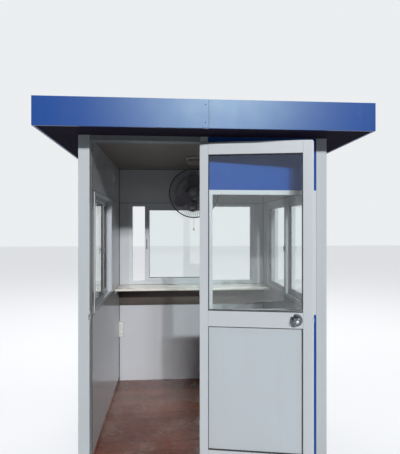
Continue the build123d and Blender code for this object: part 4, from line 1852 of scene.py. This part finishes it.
@dataclass
class CladdingTrim(Trim):
    """Upright seams and edge rivets of the blue outer sheets."""

    recess: float = 0.005
    seam: float = 0.003
    rise: float = 0.0006
    seam_places: Pair = (-0.23, 0.23)
    rivet_radius: float = 0.0032
    rivet_sides: int = 12
    rivet_pitch: float = 0.3
    rivet_inset: float = 0.012
    rivet_level: float = 0.05

    def build(self) -> None:
        """Run dark seams down the sheets, clear of the windows, and rivet them to the posts."""
        seams = []
        seats = []
        edge = ROOM_HALF - self.rivet_inset
        for side in BLUE_SIDES:
            face = wall_face(side, WALL_HALF - self.recess)
            frame = Spans.of(side.node("window_frame"), face)
            wall = Spans.of(side.node("wall_panels"), face)
            for place in self.seam_places:
                for up in ((wall.up[0], frame.up[0]), (frame.up[1], wall.up[1])):
                    out = (-self.rise, self.rise)
                    seam = block("seam", around(place, self.seam), up, out, self.rise / 2)
                    seams.append(face.fix(seam))
            height = wall.up[1] - wall.up[0]
            count = int(height / self.rivet_pitch)
            step = (height - 2 * self.rivet_level) / count
            for index in range(count + 1):
                up = wall.up[0] + self.rivet_level + index * step
                seats += [face.at(-edge, up), face.at(edge, up)]
        self.fitter.fit(merged("cladding_seams", seams), "seam_blue", "blue_paint")
        heads = spread("cladding_rivets", rivet(self.rivet_radius, self.rivet_sides), seats)
        self.fitter.fit(heads, "zinc", "blue_paint")


@dataclass
class RoofTrim(Trim):
    """Screws with washers on the ribs, over each roof beam."""

    profile: tuple[Pair, ...] = ((0.008, -0.0004), (0.008, 0.0012), (0.0045, 0.0016), (0.0045, 0.0058))
    pitch: float = 0.21
    beams: int = 6
    side_inset: float = 0.062
    end_inset: float = 0.08

    def build(self) -> None:
        """Seat a screw on each rib over each beam."""
        low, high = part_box("roof_sheet")
        count = int((high.x - low.x - self.side_inset) // self.pitch)
        step = (high.y - low.y - 2 * self.end_inset) / (self.beams - 1)
        places = [
            Matrix.Translation(
                ((rib - (count - 1) / 2) * self.pitch, low.y + self.end_inset + beam * step, high.z)
            )
            for rib in range(count)
            for beam in range(self.beams)
        ]
        head = turned("roof_screw", 6, *self.profile)
        self.fitter.fit(spread("roof_screws", head, places), "zinc", "roof_metal")


@dataclass
class CounterTrim(Trim):
    """The counter's front edge band, a dark ledger board whose colour and foot paint in the shaded band
    under the counter, and the angles that carry it.
    """

    band: float = 0.0012
    band_inset: float = 0.004
    band_short: float = 0.0005
    band_seat: float = 0.0002
    band_bevel: float = 0.00048
    angle: float = 0.025
    angle_thickness: float = 0.002
    ledger_foot: float = 0.807
    ledger_thickness: float = 0.015
    ledger_bevel: float = 0.0015
    angle_setback: float = 0.02

    def build(self) -> None:
        """Fit the edge band, the dark ledger that paints the shade under the counter, and angles along
        the back and side walls.
        """
        low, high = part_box("counter")
        width = (low.x, high.x)
        band = block(
            "edge_band",
            grown(width, -self.band_short),
            (low.y - self.band, low.y + self.band_seat),
            grown((low.z, high.z), -self.band_inset),
            self.band_bevel,
        )
        self.fitter.fit(band, "band_cream", "counter_cream")
        # painted shade: the ledger's dark colour, and its foot at the lower edge of the dark band,
        # stand for the shade under the counter
        back = high.y - self.ledger_thickness
        up = (self.ledger_foot, low.z)
        ledger = block("counter_ledger", width, (back, high.y), up, self.ledger_bevel)
        self.fitter.fit(ledger, "ledger_brown")
        thin = self.angle_thickness
        tall = (low.z - self.angle, low.z)
        flat = (low.z - thin, low.z)
        run = (low.y + self.angle_setback, back - self.angle)
        legs = [
            (width, (back - thin, back), tall),
            (width, (back - self.angle, back), flat),
        ]
        for wall, way in ((low.x, 1), (high.x, -1)):
            legs.append(((wall, wall + way * thin), run, tall))
            legs.append(((wall, wall + way * self.angle), run, flat))
        angles = merged("counter_angles", [block("leg", *leg, thin / 4) for leg in legs])
        self.fitter.fit(angles, "zinc", "window_white")


@dataclass
class LampTrim(Trim):
    """A bright ring round the ceiling lamp's cover."""

    base_height: float = 0.014
    profile: tuple[Pair, ...] = (
        (-0.0035, -0.00385), (-0.0005, -0.0021), (0.0008, 0.0), (0.0004, 0.0035), (-0.0035, 0.0042),
    )

    def build(self) -> None:
        """Fit the ring where the cover meets the base."""
        low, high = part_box("ceiling_lamp")
        middle = (low + high) / 2
        radius = (high.x - low.x) / 2
        level = high.z - self.base_height
        stations = [(radius + wide, level + up) for wide, up in self.profile]
        rim = turned("lamp_ring", 72, *stations)
        place = Matrix.Translation((middle.x, middle.y, 0))
        self.fitter.fit(stood(rim, place), "switch_white", "lamp_cover")


@dataclass
class SocketTrim(Trim):
    """The socket box's rocker, and black discs that paint the shade in its pin holes."""

    rocker_share: float = 0.44
    rocker_up: Pair = (-0.042, -0.016)
    rocker_out: Pair = (-0.0004, 0.0022)
    rocker_bevel: float = 0.0008
    frame_share: float = 0.6
    frame_margin: float = 0.005
    frame_out: Pair = (0, 0.0012)
    frame_band: float = 0.0025
    hole_radius: float = 0.0024
    hole_out: Pair = (-0.0002, 0.00015)
    hole_spread: float = 0.0095
    hole_levels: Pair = (0.03, 0.068)

    def build(self) -> None:
        """Fit a rocker over two rows of black discs that paint the shade in the pin holes on the box's
        front.
        """
        low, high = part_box("socket_box")
        x = (low.x + high.x) / 2
        width = high.x - low.x
        front = facing(Side.FRONT, x, low.y)
        up = shifted(self.rocker_up, high.z)
        across = around(0, width * self.rocker_share)
        rocker = block("rocker", across, up, self.rocker_out, self.rocker_bevel)
        across = around(0, width * self.frame_share)
        frame = ring("frame", across, grown(up, self.frame_margin), self.frame_out, self.frame_band)
        piece = front.fix(merged("socket_rocker", [rocker, frame]))
        self.fitter.fit(piece, "switch_white", "white_plastic")
        # painted shade: each pin hole is a black disc standing for the dark inside of the hole
        hole = turned("hole", 14, *((self.hole_radius, level) for level in self.hole_out))
        seats = [
            front.at(way * self.hole_spread, low.z + level)
            for level in self.hole_levels
            for way in (-1, 1)
        ]
        self.fitter.fit(spread("socket_holes", hole, seats), "gasket_black")


@dataclass
class FanGuard(Trim):
    """The fan's cage: many fine domed wires, two rings and a plain centre cap."""

    wires: int = 72
    wire: float = 0.0011
    ring_wire: float = 0.0013
    rim_wire: float = 0.0048
    ring_share: float = 0.62
    front_inner: float = 0.046
    rear_overlap: float = 0.004
    wire_sides: int = 6
    wire_steps: int = 9
    hoop_sides: int = 96
    hoop_facets: int = 8
    cap: tuple[Pair, ...] = (
        (0.0475, -0.001), (0.0475, 0.0008), (0.044, 0.0022), (0.036, 0.0026),
        (0.034, 0.0016), (0.031, 0.0016), (0.029, 0.0026), (0.012, 0.0031),
    )
    cap_seat: float = 0.0022

    def wire_piece(self, inner: float, reach: float, bend: float) -> Piece:
        """Spin a small circle into one wire that starts flat at the inner ring and domes back.

        Args:
            inner: The radius where it starts.
            reach: How far out it runs.
            bend: The radius of its arc.

        Returns:
            The wire, along X and Z in the plane y = 0, with the fan's axis through the origin.
        """
        deselect()
        bpy.ops.mesh.primitive_circle_add(
            vertices=self.wire_sides,
            radius=self.wire,
            fill_type="NGON",
            location=(inner, 0, 0),
            rotation=(0, math.pi / 2, 0),
        )
        piece = settle(bpy.context.object)
        edit(piece)
        angle = -math.asin(reach / bend)
        middle = (inner, 0, -bend)
        bpy.ops.mesh.spin(steps=self.wire_steps, angle=angle, center=middle, axis=(0, 1, 0))
        bpy.ops.mesh.select_all(action="SELECT")
        bpy.ops.mesh.remove_doubles(threshold=WELD_DISTANCE)
        return close(piece)

    def hoop(self, face: Face, radius: float, level: float, wire: float) -> Piece:
        """Add a wire hoop round the fan's axis.

        Args:
            face: The plane across the axis.
            radius: The hoop's radius.
            level: Its height over the plane.
            wire: Its wire's radius.

        Returns:
            The hoop.
        """
        deselect()
        bpy.ops.mesh.primitive_torus_add(
            major_radius=radius,
            minor_radius=wire,
            major_segments=self.hoop_sides,
            minor_segments=self.hoop_facets,
        )
        return stood(bpy.context.object, face.at(0, 0, level))

    def cage(self, name: str, face: Face, inner: float, height: float, edge: float) -> Piece:
        """Set the wires of one half round the axis, with a ring across them.

        Args:
            name: The half's name.
            face: The plane across the axis.
            inner: The radius where the wires start.
            height: How far the half domes out.
            edge: The rim's distance from the plane.

        Returns:
            The half.
        """
        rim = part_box("guard_rim")
        reach = (rim[1].x - rim[0].x) / 2 - self.rim_wire - inner
        rise = height - edge
        bend = (reach**2 + rise**2) / (2 * rise)
        turns = [
            face.at(0, 0, height) @ Matrix.Rotation(2 * math.pi * index / self.wires, 4, "Z")
            for index in range(self.wires)
        ]
        wires = spread(name, self.wire_piece(inner, reach, bend), turns)
        place = reach * self.ring_share
        drop = bend - math.sqrt(bend**2 - place**2)
        hoop = self.hoop(face, inner + place, height - drop - self.wire, self.ring_wire)
        return merged(name, [wires, hoop])

    def build(self) -> None:
        """Build both halves of the cage about the fan's axis."""
        rim_low, rim_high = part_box("guard_rim")
        hubs_low, hubs_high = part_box("guard_hubs")
        middle = (rim_low + rim_high) / 2
        front = facing(Side.FRONT, 0, middle.y, middle.z)
        back = facing(Side.BACK, 0, middle.y, middle.z)
        rear_inner = (hubs_high.x - hubs_low.x) / 2 - self.rear_overlap
        edge = (rim_high.y - rim_low.y) / 4
        for half, face, inner, height in (
            ("front", front, self.front_inner, middle.y - hubs_low.y - self.wire),
            ("rear", back, rear_inner, hubs_high.y - middle.y - self.wire),
        ):
            cage = self.cage(f"guard_{half}_cage", face, inner, height, edge)
            node = f"guard_{half}_wires"
            self.fitter.fit(cage, "wire_grey", "fan_wire", Body.HEAD, (node,))
        radius = (rim_high.x - rim_low.x) / 2 - self.rim_wire
        rims = [self.hoop(front, radius, level, self.rim_wire) for level in (-edge, edge)]
        rim = merged("guard_rim_hoops", rims)
        self.fitter.fit(rim, "wire_grey", "fan_wire", Body.HEAD, ("guard_rim",))
        place = front.at(0, 0, middle.y - hubs_low.y - self.cap_seat)
        boss = stood(turned("guard_cap", 48, *self.cap), place)
        self.fitter.fit(boss, "fan_grey", "fan_grey", Body.HEAD)


@dataclass
class FanTrim(Trim):
    """The motor's vent slots and seam ring, and the base's switch plate and speed knob."""

    motor_radius: float = 0.055
    vents: int = 10
    vent_length: float = 0.05
    vent_width: float = 0.0035
    vent_arc: float = 150.0
    vent_setback: float = 0.06
    vent_out: Pair = (-0.001, 0.0004)
    vent_bevel: float = 0.0003
    seam_setback: float = 0.088
    seam_out: Pair = (-0.001, 0.0005)
    seam_width: float = 0.0016
    base_depth: float = 0.05
    plate_width: float = 0.048
    plate_up: Pair = (0.022, 0.052)
    plate_out: Pair = (-0.0005, 0.0016)
    plate_bevel: float = 0.0006
    knob_up: float = 0.037
    knob_seat: float = 0.0014
    knob: tuple[Pair, ...] = ((0.0105, 0.0), (0.0105, 0.004), (0.0088, 0.0098), (0.0078, 0.0112))
    pointer_width: float = 0.0016
    pointer_up: Pair = (0.0395, 0.0465)
    pointer_out: Pair = (0.0115, 0.0131)

    def motor(self) -> None:
        """Lay thin black blocks on the motor's shell all round, whose black paints the shade inside the
        vent slots, and add a seam ring.
        """
        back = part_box("fan_motor")[1].y
        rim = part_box("guard_rim")
        axis_z = (rim[0].z + rim[1].z) / 2
        radius = self.motor_radius
        skin = shifted(self.vent_out, radius)
        width = around(0, self.vent_width)
        slot = block("vent", width, around(0, self.vent_length), skin, self.vent_bevel)
        middle = Matrix.Translation((0, back - self.vent_setback, axis_z))
        turns = []
        for index in range(self.vents):
            angle = self.vent_arc * (index / (self.vents - 1) - 0.5)
            turns.append(middle @ Matrix.Rotation(math.radians(angle), 4, "Y"))
        # painted shade: the black blocks stand for the dark inside of the vent openings
        self.fitter.fit(spread("motor_vents", slot, turns), "gasket_black", "", Body.HEAD)
        low, high = shifted(self.seam_out, radius)
        foot, top = around(0, self.seam_width)
        seam = turned("motor_seam", 48, (low, foot), (high, foot), (high, top), (low, top))
        place = Matrix.Translation((0, back - self.seam_setback, axis_z))
        seam = stood(seam, place @ Matrix.Rotation(math.pi / 2, 4, "X"))
        self.fitter.fit(seam, "joint_dark", "", Body.HEAD)

    def base(self) -> None:
        """Fit a speed knob, its pointer and a switch plate on the base's front."""
        low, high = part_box("fan_base")
        face = facing(Side.FRONT, 0, high.y - self.base_depth)
        up = shifted(self.plate_up, low.z)
        width = around(0, self.plate_width)
        plate = block("plate", width, up, self.plate_out, self.plate_bevel)
        seat = Matrix.Translation((0, low.z + self.knob_up, self.knob_seat))
        knob = stood(turned("speed_knob", 28, *self.knob), seat)
        up = shifted(self.pointer_up, low.z)
        pointer = block("pointer", around(0, self.pointer_width), up, self.pointer_out)
        switch = face.fix(merged("base_switch", [plate, knob]))
        self.fitter.fit(switch, "switch_white", "fan_grey")
        self.fitter.fit(face.fix(pointer), "gasket_black")

    def build(self) -> None:
        """Build every trim piece of the motor and the base."""
        self.motor()
        self.base()


@dataclass
class BaseTrim(Trim):
    """Weld beads where the base's beams meet."""

    bead: float = 0.005
    bead_shape: Triple = (0.8, 0.35, 1.1)
    ripples: int = 12
    end_gap: float = 0.006
    inset: float = 0.08

    def build(self) -> None:
        """Lay a rippled bead up each corner of the base frame."""
        low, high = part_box("base_side_beams")
        step = (high.z - low.z - 2 * self.end_gap) / (self.ripples - 1)
        places = [
            Matrix.Translation((x * (high.x - self.inset), y * high.y, low.z + self.end_gap + step * z))
            for x in (-1, 1)
            for y in (-1, 1)
            for z in range(self.ripples)
        ]
        deselect()
        bpy.ops.mesh.primitive_uv_sphere_add(segments=10, ring_count=6, radius=self.bead)
        drop = bpy.context.object
        drop.scale = self.bead_shape
        beads = spread("weld_beads", settle(drop), places)
        self.fitter.fit(beads, "base_grey", "frame_steel")


@dataclass
class PullCord(Trim):
    """The fan's woven pull cord, with the moulded weight on its end."""

    thickness: float = 0.0022
    steps: int = 5

    def build(self) -> None:
        """Model the cord as a bevelled curve down the middle of its CAD rod."""
        low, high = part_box("fan_cord")
        middle = (low + high) / 2
        length = high.z - low.z
        places = [
            (middle.x, middle.y, high.z - length * index / self.steps)
            for index in range(self.steps + 1)
        ]
        data = bpy.data.curves.new("pull_cord", "CURVE")
        data.dimensions = "3D"
        data.bevel_depth = self.thickness / 2
        data.bevel_resolution = 3
        spline = data.splines.new("NURBS")
        spline.points.add(len(places) - 1)
        for point, place in zip(spline.points, places):
            point.co = (*place, 1.0)
        spline.order_u = 3
        spline.use_endpoint_u = True
        cord = bpy.data.objects.new("pull_cord", data)
        bpy.context.scene.collection.objects.link(cord)
        self.fitter.fit(cord, "cord_white", "cord_white", replaces=("fan_cord",))


def main() -> None:
    """Build the scene in order."""
    logging.basicConfig(level=logging.INFO, format="%(message)s")
    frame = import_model()
    Studio().build()
    effects = Effects.build()
    fitter = Fitter({finish.name: finish.build(effects) for finish in FINISHES})
    for finish, nodes in NODES_BY_FINISH.items():
        for node in nodes:
            fitter.coat(bpy.data.objects[node], finish)
            log.info("coated %s with %s", node, finish)
    leaf = leaf_face(frame["joints"])
    PullCord(fitter).build()
    LeafTrim(fitter, leaf).build()
    StrikePlate(fitter, leaf).build()
    HingeTrim(fitter, leaf).build()
    KnobSet(fitter, leaf).build()
    WindowTrim(fitter).build()
    RoomTrim(fitter).build()
    FasciaTrim(fitter).build()
    CladdingTrim(fitter).build()
    RoofTrim(fitter).build()
    CounterTrim(fitter).build()
    LampTrim(fitter).build()
    SocketTrim(fitter).build()
    FanGuard(fitter).build()
    FanTrim(fitter).build()
    BaseTrim(fitter).build()


if __name__ == "__main__":
    main()
